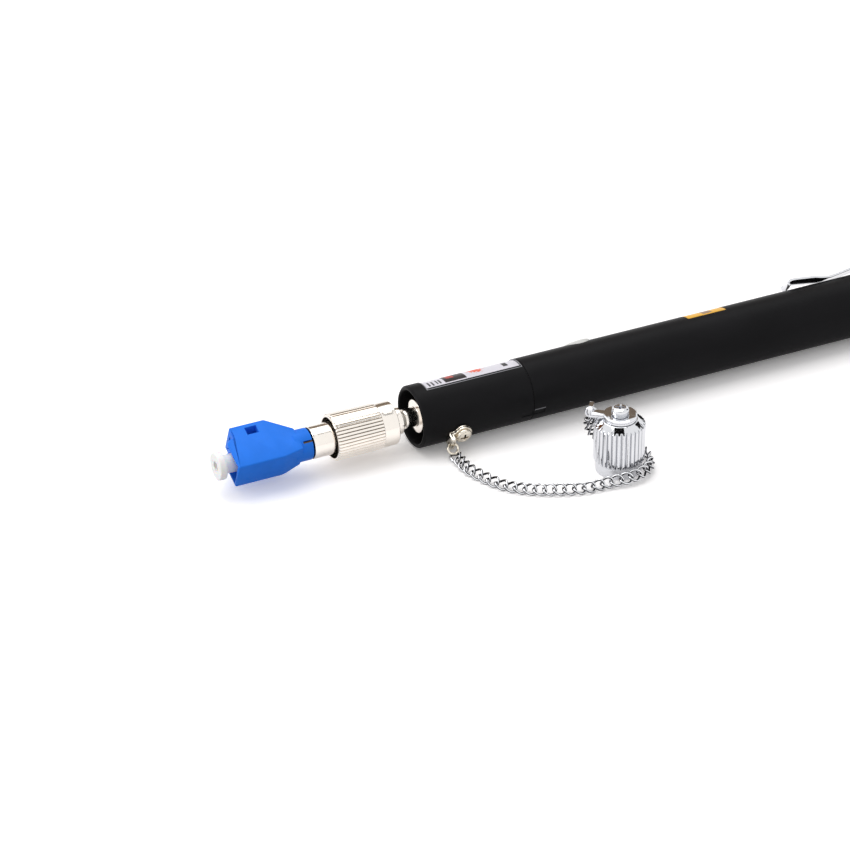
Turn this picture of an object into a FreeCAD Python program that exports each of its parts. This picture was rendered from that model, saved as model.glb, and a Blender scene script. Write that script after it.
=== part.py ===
import FreeCAD, Part
import math
import os
import Sketcher

# Visual fault locator pen with its fibre adapter and its chained dust cap.
# Millimetres, +Z up, floor at z = 0.
# The pen lies along X with its mouth at the low end. Pieces on the pen axis are drawn about their own X axis,
# where local +Z points at the button, the labels and the clip.

# name, value, what it is
SIZES = (
    ("pen_radius", 6.5, "outside of sleeve, barrel and tail cap"),
    ("pen_roll", 46.0, "degrees that the button side leans away from upright"),
    ("seat_gap", 0.02, "radial gap of parts that are pressed or screwed together"),
    ("run_gap", 0.05, "radial gap of parts that slide or turn in each other"),
    ("seam_chamfer", 0.15, "broken edge on each side of a body seam"),
    ("sleeve_length", 24.8, "mouth to the seam with the barrel"),
    ("sleeve_bore", 5.6, "radius of the mouth"),
    ("front_chamfer", 0.4, "outer edge of the mouth"),
    ("mouth_chamfer", 0.25, "inner edge of the mouth"),
    ("spigot_length", 4.0, "part of the sleeve inside the barrel"),
    ("spigot_bore", 4.95, "radius inside the spigot"),
    ("label_start", 3.3, "mouth to the sleeve label"),
    ("label_land", 0.4, "rear edge of the sleeve label's recess to the seam"),
    ("label_arc", 106.0, "degrees round the sleeve that its label covers"),
    ("label_depth", 0.3, "recess for the sleeve label"),
    ("label_margin", 0.1, "gap between a label and the ends of its recess"),
    ("label_thickness", 0.12, "printed film"),
    ("barrel_bore", 5.5, "radius of the battery tube"),
    ("tag_start", 39.3, "seam to the barrel label"),
    ("tag_length", 9.1, "barrel label along the pen"),
    ("tag_arc", 80.0, "degrees round the barrel that its label covers"),
    ("tag_depth", 0.15, "recess for the barrel label"),
    ("lug_angle", 155.0, "degrees from the button line to the lug and the key"),
    ("lug_place", 8.4, "mouth to the lug screw"),
    ("key_start", 2.6, "part of the key in front of the seam"),
    ("key_length", 5.2, "key along the pen"),
    ("key_width", 1.3, "key round the pen"),
    ("key_depth", 0.7, "slot for the key"),
    ("key_sink", 0.12, "top of the key below the skin"),
    ("port_face", 1.0, "mouth to the flat end of the port"),
    ("port_radius", 3.5, "threaded post inside the mouth"),
    ("port_length", 11.0, "threaded post"),
    ("flange_length", 4.0, "port flange in the sleeve"),
    ("neck_radius", 2.0, "thin neck on the port"),
    ("neck_length", 2.8, "thin neck on the port"),
    ("guide_radius", 1.6, "split guide sleeve outside"),
    ("guide_length", 10.6, "split guide sleeve"),
    ("guide_sink", 0.4, "guide sleeve behind the neck's end"),
    ("guide_slot", 0.35, "width of the split"),
    ("beam_radius", 0.7, "light path through the port"),
    ("ferrule_radius", 1.25, "ferrule outside"),
    ("laser_length", 17.0, "laser housing"),
    ("lens_radius", 2.2, "collimating lens"),
    ("lens_place", 3.0, "front of laser housing to the lens"),
    ("lens_length", 2.0, "lens thickness"),
    ("lens_edge", 1.2, "straight rim of the lens"),
    ("diode_radius", 2.8, "diode can"),
    ("diode_place", 8.0, "front of laser housing to the diode can"),
    ("diode_length", 3.5, "diode can"),
    ("diode_flange_radius", 3.25, "diode base"),
    ("diode_flange", 1.2, "diode base thickness"),
    ("pin_radius", 0.22, "diode leg"),
    ("pin_circle", 1.27, "radius of the circle of legs"),
    ("pin_length", 4.0, "diode leg"),
    ("pin_count", 3, "diode legs"),
    ("board_front_gap", 0.3, "laser housing to the driver board"),
    ("board_rear_gap", 0.1, "driver board to the battery contact"),
    ("board_width", 8.6, "driver board"),
    ("board_thickness", 1.0, "driver board"),
    ("board_top", 0.2, "board face above the pen axis"),
    ("switch_side", 6.0, "tact switch"),
    ("switch_height", 1.7, "tact switch case"),
    ("plunger_radius", 1.4, "tact switch plunger"),
    ("plunger_height", 0.5, "tact switch plunger"),
    ("button_place", 15.1, "seam to the button"),
    ("button_radius", 3.0, "button cap"),
    ("button_top", 6.75, "pen axis to the button's face"),
    ("button_edge", 0.25, "rounded rim of the button"),
    ("button_flange_radius", 3.3, "flange that keeps the button in"),
    ("button_flange_top", 4.0, "pen axis to the flange"),
    ("button_flange", 0.6, "flange thickness"),
    ("button_stem_radius", 1.0, "stem on the tact switch"),
    ("button_travel", 0.6, "press"),
    ("contact_place", 25.1, "seam to the battery contact"),
    ("contact_radius", 5.2, "battery contact"),
    ("contact_thickness", 0.6, "battery contact"),
    ("cell_length", 44.5, "AAA cell with its nub"),
    ("cell_radius", 5.2, "AAA cell"),
    ("nub_radius", 1.9, "positive end"),
    ("nub_length", 0.8, "positive end"),
    ("cell_edge", 0.5, "bevel on the cell ends"),
    ("spring_length", 6.0, "tail spring between cell and seat"),
    ("spring_radius", 3.2, "tail spring coil"),
    ("spring_wire", 0.5, "tail spring wire"),
    ("spring_pitch", 1.35, "tail spring, one turn"),
    ("seat_thickness", 1.0, "spring seat"),
    ("tail_length", 8.0, "visible part of the tail cap"),
    ("tail_spigot", 7.5, "threaded part of the tail cap"),
    ("tail_bore", 4.6, "inside of the tail cap"),
    ("tail_floor", 1.98, "tail seam to the floor inside the tail cap"),
    ("tail_chamfer", 1.0, "end of the tail cap"),
    ("seal_radius", 5.19, "sealing ring centre line"),
    ("seal_wire", 0.24, "sealing ring section"),
    ("seal_place", 1.8, "tail seam to the sealing ring"),
    ("seal_land", 0.3, "half width of the sealing groove"),
    ("clip_width", 4.6, "pocket clip"),
    ("clip_thickness", 0.5, "pocket clip leaf"),
    ("clip_end", 0.5, "foot of the clip to the tail seam"),
    ("clip_length", 48.0, "tip of the clip to the bend at its root"),
    ("clip_foot", 7.0, "foot of the clip along the barrel"),
    ("clip_rise", 3.2, "underside of the clip above the skin at its root"),
    ("clip_dip", 0.75, "underside of the clip above the skin at its nip"),
    ("clip_curl", 1.8, "underside of the curled tip above the skin"),
    ("adapter_gap", 0.8, "neck of the port to the adapter's nose"),
    ("adapter_roll", 68.0, "degrees that the adapter's latch side leans away from upright"),
    ("nose_radius", 2.82, "nose of the adapter"),
    ("nose_length", 6.6, "nose to its stop collar"),
    ("nose_key_width", 1.2, "key on the nose"),
    ("nose_key_height", 0.5, "key on the nose"),
    ("nose_key_length", 1.7, "key on the nose"),
    ("stop_radius", 3.62, "stop collar inside the nut"),
    ("stop_length", 1.0, "stop collar"),
    ("tube_radius", 3.35, "tube that carries the nut"),
    ("stem_radius", 2.4, "thinner end of the tube, seated in the housing"),
    ("stem_length", 4.5, "thinner end of the tube"),
    ("ferrule_reach", 8.0, "mouth to the ferrule's end in the port"),
    ("ferrule_length", 18.0, "ferrule"),
    ("nut_show", 1.7, "nose that stands out of the nut"),
    ("collar_radius", 4.6, "smooth collar of the nut"),
    ("collar_length", 3.4, "smooth collar of the nut"),
    ("nut_radius", 4.75, "knurl at the collar"),
    ("nut_flare", 0.2, "growth of the knurl towards the rear"),
    ("knurl_length", 10.23, "knurled part of the nut"),
    ("knurl_count", 44, "teeth round the nut"),
    ("knurl_depth", 0.28, "depth of the grooves"),
    ("knurl_width", 0.46, "width of the grooves"),
    ("nut_thread", 3.95, "thread bore of the nut"),
    ("nut_rear_bore", 4.25, "rear bore of the nut"),
    ("web_gap", 0.3, "stop collar to the web of the nut"),
    ("web_length", 1.5, "web of the nut"),
    ("nut_ring_length", 0.8, "retaining ring"),
    ("nut_ring_slot", 1.2, "gap of the retaining ring"),
    ("housing_front", 37.0, "nose of the adapter to the housing's front"),
    ("housing_length", 14.3, "body of the housing"),
    ("housing_thickness", 6.4, "across the broad faces"),
    ("housing_low", 3.8, "axis to the plain side"),
    ("housing_high", 6.1, "axis to the latch side"),
    ("housing_shoulder", 2.3, "axis to the shoulder at the neck"),
    ("housing_apex", 9.2, "front to the peak of the latch side"),
    ("housing_setback", 1.7, "latch side behind the port side"),
    ("housing_step", 2.6, "axis to the step between port and latch"),
    ("housing_taper", 0.8, "fall of the plain side towards the neck"),
    ("housing_relief", 4.2, "bevel at the rear of the far face, along the axis"),
    ("housing_relief_depth", 1.3, "bevel at the rear of the far face, across"),
    ("housing_neck", 3.3, "round neck of the housing"),
    ("housing_neck_length", 2.5, "round neck of the housing"),
    ("neck_slot", 0.5, "slot between the jaws of the neck"),
    ("neck_slot_turn", 117.5, "degrees from the latch side to the slot"),
    ("neck_gap", 0.3, "neck of the housing to the shoulder of the tube"),
    ("port_wall", 0.6, "wall round the mouth of the port"),
    ("port_sink", 1.6, "wide mouth of the port"),
    ("socket_side", 4.6, "square port"),
    ("socket_depth", 9.6, "square port"),
    ("latch_width", 3.2, "latch way"),
    ("latch_top", 5.1, "axis to the top of the latch way"),
    ("window_start", 4.7, "front to the latch window"),
    ("window_length", 2.5, "latch window"),
    ("window_low", 3.4, "axis to the latch window"),
    ("window_high", 5.2, "axis to the top of the latch window"),
    ("core_radius", 0.95, "inner alignment sleeve"),
    ("core_bore", 0.63, "inner alignment sleeve"),
    ("core_start", 3.2, "front of the housing to the alignment sleeve"),
    ("core_gap", 0.4, "alignment sleeve to the end of the tube"),
    ("plug_head_radius", 2.9, "dust plug head"),
    ("plug_head_length", 1.5, "dust plug head"),
    ("plug_neck_radius", 1.9, "dust plug between head and stem"),
    ("plug_gap", 1.7, "dust plug head to the port"),
    ("plug_stem_length", 6.0, "dust plug stem"),
    ("plug_bore", 1.05, "hole of the dust plug"),
    ("screw_head_radius", 1.7, "lug screw head"),
    ("screw_head_height", 0.95, "lug screw head"),
    ("screw_shank", 0.95, "lug screw shank"),
    ("screw_grip", 0.75, "lug screw in the sleeve wall"),
    ("recess_width", 0.45, "arm of a cross recess"),
    ("recess_length", 2.0, "arm of a cross recess"),
    ("recess_depth", 0.5, "depth of a cross recess"),
    ("strap_thickness", 0.4, "folded sheet of the chain straps"),
    ("strap_gap", 0.05, "between the two layers of a strap"),
    ("strap_width", 1.8, "tongue of a strap"),
    ("lug_eye", 2.0, "eye of the lug strap"),
    ("lug_reach", 2.3, "lug screw to the upright tab"),
    ("lug_tab_height", 2.3, "upright tab above the plate of the lug strap"),
    ("cap_tab_height", 1.9, "upright tab above the plate of the cap strap"),
    ("tab_drop", 2.1, "tab beside the tongue"),
    ("tab_hole", 0.5, "hole in the tab"),
    ("tab_hole_side", 1.2, "tongue to the tab hole"),
    ("lug_hole_up", 1.5, "plate to the hole in the lug tab"),
    ("ring_radius", 1.1, "jump ring centre line"),
    ("ring_wire", 0.25, "jump ring wire radius"),
    ("ring_swing", 64.0, "degrees that the chain pulls the lug ring out of the plane of the plate"),
    ("ring_slack", 0.29, "lift of the ring off the edge of its hole"),
    ("cap_x", 33.9, "mouth to the dust cap"),
    ("cap_y", -26.0, "pen axis to the dust cap"),
    ("cap_turn", 145.0, "degrees from +X to the cap's strap"),
    ("cap_radius", 5.2, "fluted part of the dust cap"),
    ("cap_base", 4.7, "smooth skirt of the dust cap"),
    ("cap_base_height", 2.3, "smooth skirt of the dust cap"),
    ("cap_flute_top", 10.6, "floor to the end of the flutes"),
    ("cap_shoulder", 3.6, "top face of the dust cap"),
    ("cap_height", 11.8, "floor to the top face"),
    ("cap_bore", 3.6, "thread inside the dust cap"),
    ("cap_depth", 9.0, "depth of the cavity"),
    ("flute_count", 32, "flutes"),
    ("flute_radius", 0.34, "section of a flute"),
    ("boss_radius", 1.5, "boss under the cap screw"),
    ("boss_height", 1.15, "boss under the cap screw"),
    ("cap_eye", 3.4, "eye of the cap strap"),
    ("cap_reach", 5.5, "cap axis to the upright tab"),
    ("cap_hole_up", 1.0, "plate to the hole in the cap tab"),
    ("cap_strap_gap", 0.1, "top of the cap to its strap"),
    ("cap_screw_head", 1.75, "cap screw head"),
    ("cap_screw_height", 1.5, "cap screw head"),
    ("cap_screw_shank", 0.85, "cap screw shank"),
    ("cap_screw_length", 3.4, "cap screw shank"),
    ("chain_wire", 0.5, "wire of a link"),
    ("chain_width", 2.7, "a link across"),
    ("chain_pitch", 1.96, "link to link"),
    ("chain_play", 0.18, "slack in each link"),
    ("chain_twist", 90.0, "degrees that a link is twisted from end to end"),
    ("chain_start_roll", 30.0, "degrees that the first link stands up from flat"),
    ("chain_drop", 0.5, "wire of the lug ring down to the middle of the chain"),
    ("chain_lift", 0.1, "floor to the lowest links"),
    ("chain_clearance", 0.35, "chain to the flutes of the cap"),
    ("chain_ramp", 14, "links over which the chain rolls square to the ring of the cap"),
)
VALUE = {name: value for name, value, meaning in SIZES}

doc = FreeCAD.newDocument("fault_locator")
sheet = doc.addObject("Spreadsheet::Sheet", "Sizes")
PIECES = []


def fill_sheet():
    """Writes each size as a plain number under its own name"""
    for row, (name, value, meaning) in enumerate(SIZES, start=1):
        sheet.set("A%d" % row, meaning)
        sheet.set("B%d" % row, str(value))
        sheet.setAlias("B%d" % row, name)
    doc.recompute()


def measure(text):
    """Reads a sum such as "bore + 0.5*wall". Returns it as an expression on the sheet and as a number."""
    words = []
    value = 0.0
    sign = 1.0
    for word in text.split():
        if word in ("+", "-"):
            sign = -1.0 if word == "-" else 1.0
            words.append(word)
            continue
        factor, star, name = word.rpartition("*")
        if name == "0":
            words.append("0")
            continue
        if not words and name.startswith("-"):
            sign = -1.0
            name = name[1:]
            words.append("-1 *")
        value += sign * float(factor or 1.0) * VALUE[name]
        words.append(factor + " * Sizes." + name if star else "Sizes." + name)
    return " ".join(words), value


def number(text):
    """The value of a sum of named sizes"""
    return measure(text)[1]


def new_body(label):
    """An empty piece with its own label"""
    body = doc.addObject("PartDesign::Body", label)
    body.Label = label
    PIECES.append(body)
    return body


def new_sketch(body, plane, lift="0", turn=0.0):
    """A sketch on one of the body's own planes, lifted along its normal and turned about its first axis"""
    sketch = body.newObject("Sketcher::SketchObject", body.Name + "_sketch")
    origin_plane = [item for item in body.Origin.OriginFeatures if item.Role == plane][0]
    sketch.AttachmentSupport = [(origin_plane, "")]
    sketch.MapMode = "FlatFace"
    rotation = FreeCAD.Rotation(FreeCAD.Vector(1, 0, 0), turn)
    expression, height = measure(lift)
    sketch.AttachmentOffset = FreeCAD.Placement(rotation.multVec(FreeCAD.Vector(0, 0, height)), rotation)
    if turn == 0.0 and height:
        sketch.setExpression("AttachmentOffset.Base.z", expression)
    return sketch


def pin(sketch, kind, index, text):
    """Ties one coordinate of an edge's start to a sum of named sizes"""
    expression, value = measure(text)
    constraint = sketch.addConstraint(Sketcher.Constraint(kind, -1, 1, index, 1, value))
    sketch.setExpression("Constraints[%d]" % constraint, expression)


def outline(body, plane, corners, lift="0", turn=0.0):
    """A closed outline with straight edges, every corner tied to named sizes"""
    sketch = new_sketch(body, plane, lift, turn)
    points = [FreeCAD.Vector(number(across), number(up), 0) for across, up in corners]
    for start, end in zip(points, points[1:] + points[:1]):
        sketch.addGeometry(Part.LineSegment(start, end), False)
    for index in range(len(points)):
        following = (index + 1) % len(points)
        sketch.addConstraint(Sketcher.Constraint("Coincident", index, 2, following, 1))
    for index, (across, up) in enumerate(corners):
        pin(sketch, "DistanceX", index, across)
        pin(sketch, "DistanceY", index, up)
    return sketch


def rectangle(body, plane, left, right, low, high, lift="0", turn=0.0):
    """A rectangle between named sizes"""
    corners = ((left, low), (right, low), (right, high), (left, high))
    return outline(body, plane, corners, lift, turn)


def disc(body, plane, across, up, radius, lift="0", turn=0.0):
    """A circle whose centre and radius are tied to named sizes"""
    sketch = new_sketch(body, plane, lift, turn)
    centre = FreeCAD.Vector(number(across), number(up), 0)
    sketch.addGeometry(Part.Circle(centre, FreeCAD.Vector(0, 0, 1), number(radius)), False)
    for kind, text in (("DistanceX", across), ("DistanceY", up)):
        expression, value = measure(text)
        constraint = sketch.addConstraint(Sketcher.Constraint(kind, -1, 1, 0, 3, value))
        sketch.setExpression("Constraints[%d]" % constraint, expression)
    constraint = sketch.addConstraint(Sketcher.Constraint("Radius", 0, number(radius)))
    sketch.setExpression("Constraints[%d]" % constraint, measure(radius)[0])
    return sketch


def extrude(body, kind, sketch, length, midplane=False, backwards=False):
    """A Pad or a Pocket of the sketch, as long as a sum of named sizes"""
    feature = body.newObject("PartDesign::" + kind, body.Name + "_" + kind.lower())
    feature.Profile = sketch
    feature.setExpression("Length", measure(length)[0])
    feature.Length = number(length)
    feature.Midplane = midplane
    feature.Reversed = backwards
    return feature


def spin(body, kind, sketch, axis="H_Axis", angle=None):
    """A Revolution or a Groove of the sketch, all round or centred on its own plane"""
    feature = body.newObject("PartDesign::" + kind, body.Name + "_" + kind.lower())
    feature.Profile = sketch
    feature.ReferenceAxis = (sketch, [axis])
    feature.Angle = 360.0
    if angle:
        feature.Angle = number(angle)
        feature.setExpression("Angle", measure(angle)[0])
        feature.Midplane = True
    return feature


def turned(label, corners, axis="H_Axis"):
    """A piece turned from a half section: corners are along and out from the axis"""
    body = new_body(label)
    spin(body, "Revolution", outline(body, "XZ_Plane", corners), axis)
    return body


def around(body, feature, count, axis="H_Axis"):
    """Repeats a feature evenly round an axis of its own sketch"""
    pattern = body.newObject("PartDesign::PolarPattern", body.Name + "_pattern")
    pattern.Originals = [feature]
    pattern.Axis = (feature.Profile[0], [axis])
    pattern.Angle = 360.0
    pattern.Occurrences = int(VALUE[count])
    pattern.setExpression("Occurrences", "Sizes." + count)
    body.Tip = pattern
    return pattern


def cross_recess(body, top):
    """Cuts a cross into a screw head from its top face down"""
    for half_x, half_y in (("recess_length", "recess_width"), ("recess_width", "recess_length")):
        left, right = "-0.5*" + half_x, "0.5*" + half_x
        low, high = "-0.5*" + half_y, "0.5*" + half_y
        slot = rectangle(body, "XY_Plane", left, right, low, high, top)
        extrude(body, "Pocket", slot, "recess_depth")


# Sums used by more than one piece, all along the pen axis.
FLANGE_START = "port_face + port_length"
FLANGE_END = FLANGE_START + " + flange_length"
LABEL_END = "sleeve_length - label_land"
BUTTON_AT = "sleeve_length + button_place"
CONTACT_START = "sleeve_length + contact_place"
CELLS_START = CONTACT_START + " + contact_thickness"
CELLS_END = CELLS_START + " + 2*cell_length"
SEAT_START = CELLS_END + " + spring_length"
SEAT_END = SEAT_START + " + seat_thickness"
BARREL_END = SEAT_END + " + seat_gap + tail_floor"
NOSE_END = "port_face - neck_length - adapter_gap"
STOP_START = NOSE_END + " - nose_length - stop_length"
NUT_FRONT = NOSE_END + " - nut_show"
WEB_FRONT = STOP_START + " - web_gap"
WEB_REAR = WEB_FRONT + " - web_length"
COLLAR_END = NUT_FRONT + " - collar_length"
NUT_REAR = COLLAR_END + " - knurl_length"
HOUSING_FRONT = NOSE_END + " - housing_front"
HOUSING_REAR = HOUSING_FRONT + " + housing_length"
NECK_END = HOUSING_REAR + " + housing_neck_length"
TUBE_END = NECK_END + " + neck_gap"
STEM_END = TUBE_END + " - stem_length"
PORT_FLOOR = HOUSING_FRONT + " + port_sink"
STRAP_STACK = "2*strap_thickness + strap_gap"
STRAP_BASE = "cap_height + cap_strap_gap"
LUG_HEAD = "pen_radius + seat_gap + " + STRAP_STACK + " + seat_gap"
CAP_HEAD = "cap_height + boss_height"

AXIS_X = FreeCAD.Vector(1, 0, 0)
AXIS_Y = FreeCAD.Vector(0, 1, 0)
AXIS_Z = FreeCAD.Vector(0, 0, 1)
NO_TURN = FreeCAD.Rotation()


def frame(x, y, z, rotation=NO_TURN):
    """A placement from coordinates and a rotation"""
    return FreeCAD.Placement(FreeCAD.Vector(x, y, z), rotation)


# Where the groups of pieces are drawn.
PEN_FRAME = frame(0, 0, VALUE["pen_radius"], FreeCAD.Rotation(AXIS_X, -VALUE["pen_roll"]))
ADAPTER_FRAME = frame(0, 0, VALUE["pen_radius"], FreeCAD.Rotation(AXIS_X, -VALUE["adapter_roll"]))
LUG_FRAME = PEN_FRAME * frame(VALUE["lug_place"], 0, 0, FreeCAD.Rotation(AXIS_X, VALUE["lug_angle"]))
LUG_STRAP_FRAME = LUG_FRAME * frame(0, 0, number("pen_radius + seat_gap"), FreeCAD.Rotation(AXIS_Z, 180))
CAP_FRAME = frame(VALUE["cap_x"], VALUE["cap_y"], 0, FreeCAD.Rotation(AXIS_Z, VALUE["cap_turn"]))
CAP_STRAP_FRAME = CAP_FRAME * frame(0, 0, number(STRAP_BASE))
RING_HANG = number("tab_hole + ring_radius - ring_wire - ring_slack")
LUG_RING_FRAME = LUG_STRAP_FRAME * frame(
    number("lug_reach + strap_thickness + 0.5*strap_gap"),
    VALUE["tab_hole_side"] + RING_HANG - VALUE["ring_radius"],
    VALUE["lug_hole_up"],
    FreeCAD.Rotation(AXIS_X, VALUE["ring_swing"])) * frame(0, VALUE["ring_radius"], 0)
CAP_RING_FRAME = CAP_STRAP_FRAME * frame(
    number("cap_reach + strap_thickness + 0.5*strap_gap"),
    -VALUE["tab_hole_side"],
    VALUE["cap_hole_up"] - RING_HANG,
    FreeCAD.Rotation(AXIS_X, 90))


def cut_key_slot(body):
    """Slot for the index key, out through the skin on the lug line"""
    slot = rectangle(body, "XY_Plane", "sleeve_length - key_start", "sleeve_length - key_start + key_length",
                     "-0.5*key_width", "0.5*key_width", "pen_radius - key_depth", VALUE["lug_angle"])
    extrude(body, "Pocket", slot, "2*key_depth", backwards=True)


def front_sleeve():
    body = turned("front_sleeve", (
        ("front_chamfer", "pen_radius"),
        ("sleeve_length - seam_chamfer", "pen_radius"),
        ("sleeve_length", "pen_radius - seam_chamfer"),
        ("sleeve_length", "barrel_bore - seat_gap"),
        ("sleeve_length + spigot_length", "barrel_bore - seat_gap"),
        ("sleeve_length + spigot_length", "spigot_bore"),
        (FLANGE_END, "spigot_bore"),
        (FLANGE_END, "sleeve_bore"),
        ("mouth_chamfer", "sleeve_bore"),
        ("0", "sleeve_bore + mouth_chamfer"),
        ("0", "pen_radius - front_chamfer"),
    ))
    recess = rectangle(body, "XZ_Plane", "label_start", LABEL_END, "pen_radius - label_depth",
                       "pen_radius + label_depth")
    spin(body, "Groove", recess, angle="label_arc")
    cut_key_slot(body)
    hole = disc(body, "XY_Plane", "lug_place", "0", "screw_shank + seat_gap", turn=VALUE["lug_angle"])
    extrude(body, "Pocket", hole, "2*pen_radius", backwards=True)
    return body


def main_barrel():
    body = turned("main_barrel", (
        ("sleeve_length + seam_chamfer", "pen_radius"),
        (BARREL_END + " - seam_chamfer", "pen_radius"),
        (BARREL_END, "pen_radius - seam_chamfer"),
        (BARREL_END, "barrel_bore"),
        ("sleeve_length", "barrel_bore"),
        ("sleeve_length", "pen_radius - seam_chamfer"),
    ))
    start = "sleeve_length + tag_start"
    recess = rectangle(body, "XZ_Plane", start, start + " + tag_length", "pen_radius - tag_depth",
                       "pen_radius + tag_depth")
    spin(body, "Groove", recess, angle="tag_arc")
    cut_key_slot(body)
    hole = disc(body, "XY_Plane", BUTTON_AT, "0", "button_radius + run_gap")
    extrude(body, "Pocket", hole, "2*pen_radius", backwards=True)
    return body


def index_key():
    """Flat key across the seam that stops the sleeve from turning in the barrel"""
    body = new_body("index_key")
    start = "sleeve_length - key_start + seat_gap"
    end = "sleeve_length - key_start + key_length - seat_gap"
    key = rectangle(body, "XY_Plane", start, end, "-0.5*key_width + seat_gap", "0.5*key_width - seat_gap",
                    "pen_radius - key_depth", VALUE["lug_angle"])
    extrude(body, "Pad", key, "key_depth - key_sink")
    return body


def film(label, start, end, depth, arc):
    """A printed film wrapped in its recess"""
    body = new_body(label)
    section = rectangle(body, "XZ_Plane", start + " + label_margin", end + " - label_margin",
                        "pen_radius - " + depth, "pen_radius - " + depth + " + label_thickness")
    spin(body, "Revolution", section, angle=arc)
    return body


def port_body():
    return turned("port_body", (
        ("port_face - neck_length", "guide_radius + seat_gap"),
        ("port_face - neck_length", "neck_radius"),
        ("port_face", "neck_radius"),
        ("port_face", "port_radius"),
        (FLANGE_START, "port_radius"),
        (FLANGE_START, "sleeve_bore - seat_gap"),
        (FLANGE_END, "sleeve_bore - seat_gap"),
        (FLANGE_END, "beam_radius"),
        ("port_face - neck_length + guide_sink + guide_length", "beam_radius"),
        ("port_face - neck_length + guide_sink + guide_length", "guide_radius + seat_gap"),
    ))


def split_sleeve():
    start = "port_face - neck_length + guide_sink"
    body = turned("split_sleeve", (
        (start, "ferrule_radius + seat_gap"),
        (start, "guide_radius"),
        (start + " + guide_length", "guide_radius"),
        (start + " + guide_length", "ferrule_radius + seat_gap"),
    ))
    slot = rectangle(body, "XY_Plane", start, start + " + guide_length", "-0.5*guide_slot", "0.5*guide_slot")
    extrude(body, "Pocket", slot, "2*guide_radius", backwards=True)
    return body


def laser_housing():
    return turned("laser_housing", (
        (FLANGE_END, "beam_radius"),
        (FLANGE_END, "spigot_bore - seat_gap"),
        (FLANGE_END + " + laser_length", "spigot_bore - seat_gap"),
        (FLANGE_END + " + laser_length", "diode_flange_radius + seat_gap"),
        (FLANGE_END + " + diode_place + diode_length", "diode_flange_radius + seat_gap"),
        (FLANGE_END + " + diode_place + diode_length", "diode_radius + seat_gap"),
        (FLANGE_END + " + lens_place + lens_length", "diode_radius + seat_gap"),
        (FLANGE_END + " + lens_place + lens_length", "lens_radius + seat_gap"),
        (FLANGE_END + " + lens_place", "lens_radius + seat_gap"),
        (FLANGE_END + " + lens_place", "beam_radius"),
    ))


def focus_lens():
    start = FLANGE_END + " + lens_place"
    return turned("focus_lens", (
        (start, "0"),
        (start, "lens_radius"),
        (start + " + lens_edge", "lens_radius"),
        (start + " + 0.8*lens_length", "0.7*lens_radius"),
        (start + " + lens_length", "0"),
    ))


def laser_diode():
    """Metal can on a round base with three legs"""
    base = FLANGE_END + " + diode_place + diode_length"
    body = turned("laser_diode", (
        (FLANGE_END + " + diode_place", "0"),
        (FLANGE_END + " + diode_place", "diode_radius"),
        (base, "diode_radius"),
        (base, "diode_flange_radius"),
        (base + " + diode_flange", "diode_flange_radius"),
        (base + " + diode_flange", "0"),
    ))
    leg = disc(body, "YZ_Plane", "pin_circle", "0", "pin_radius", base + " + diode_flange")
    pad = extrude(body, "Pad", leg, "pin_length")
    around(body, pad, "pin_count", "N_Axis")
    return body


def driver_board():
    """Circuit board under the button"""
    body = new_body("driver_board")
    board = rectangle(body, "XY_Plane", FLANGE_END + " + laser_length + board_front_gap",
                      CONTACT_START + " - board_rear_gap", "-0.5*board_width", "0.5*board_width",
                      "board_top - board_thickness")
    extrude(body, "Pad", board, "board_thickness")
    return body


def tact_switch():
    body = new_body("tact_switch")
    case = rectangle(body, "XY_Plane", BUTTON_AT + " - 0.5*switch_side", BUTTON_AT + " + 0.5*switch_side",
                     "-0.5*switch_side", "0.5*switch_side", "board_top")
    extrude(body, "Pad", case, "switch_height")
    plunger = disc(body, "XY_Plane", BUTTON_AT, "0", "plunger_radius", "board_top + switch_height")
    extrude(body, "Pad", plunger, "plunger_height")
    return body


def push_button():
    """Round button with a retaining flange, drawn about its own upright axis"""
    plunger_top = "board_top + switch_height + plunger_height + button_travel + run_gap"
    flange_low = "button_flange_top - button_flange"
    return turned("push_button", (
        ("0", plunger_top),
        ("button_stem_radius", plunger_top),
        ("button_stem_radius", flange_low),
        ("button_flange_radius", flange_low),
        ("button_flange_radius", "button_flange_top"),
        ("button_radius", "button_flange_top"),
        ("button_radius", "button_top - button_edge"),
        ("button_radius - button_edge", "button_top - 0.4*button_edge"),
        ("0.5*button_radius", "button_top"),
        ("0", "button_top"),
    ), "V_Axis")


def battery_contact():
    return turned("battery_contact", (
        (CONTACT_START, "0"),
        (CONTACT_START, "contact_radius"),
        (CELLS_START, "contact_radius"),
        (CELLS_START, "0"),
    ))


def cell(label, start):
    """AAA cell with its positive nub towards the mouth"""
    return turned(label, (
        (start, "0"),
        (start, "nub_radius"),
        (start + " + nub_length", "nub_radius"),
        (start + " + nub_length", "cell_radius - cell_edge"),
        (start + " + nub_length + cell_edge", "cell_radius"),
        (start + " + cell_length - cell_edge", "cell_radius"),
        (start + " + cell_length", "cell_radius - cell_edge"),
        (start + " + cell_length", "0"),
    ))


def spring_seat():
    return turned("spring_seat", (
        (SEAT_START, "0"),
        (SEAT_START, "tail_bore - run_gap"),
        (SEAT_END, "tail_bore - run_gap"),
        (SEAT_END, "0"),
    ))


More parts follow.
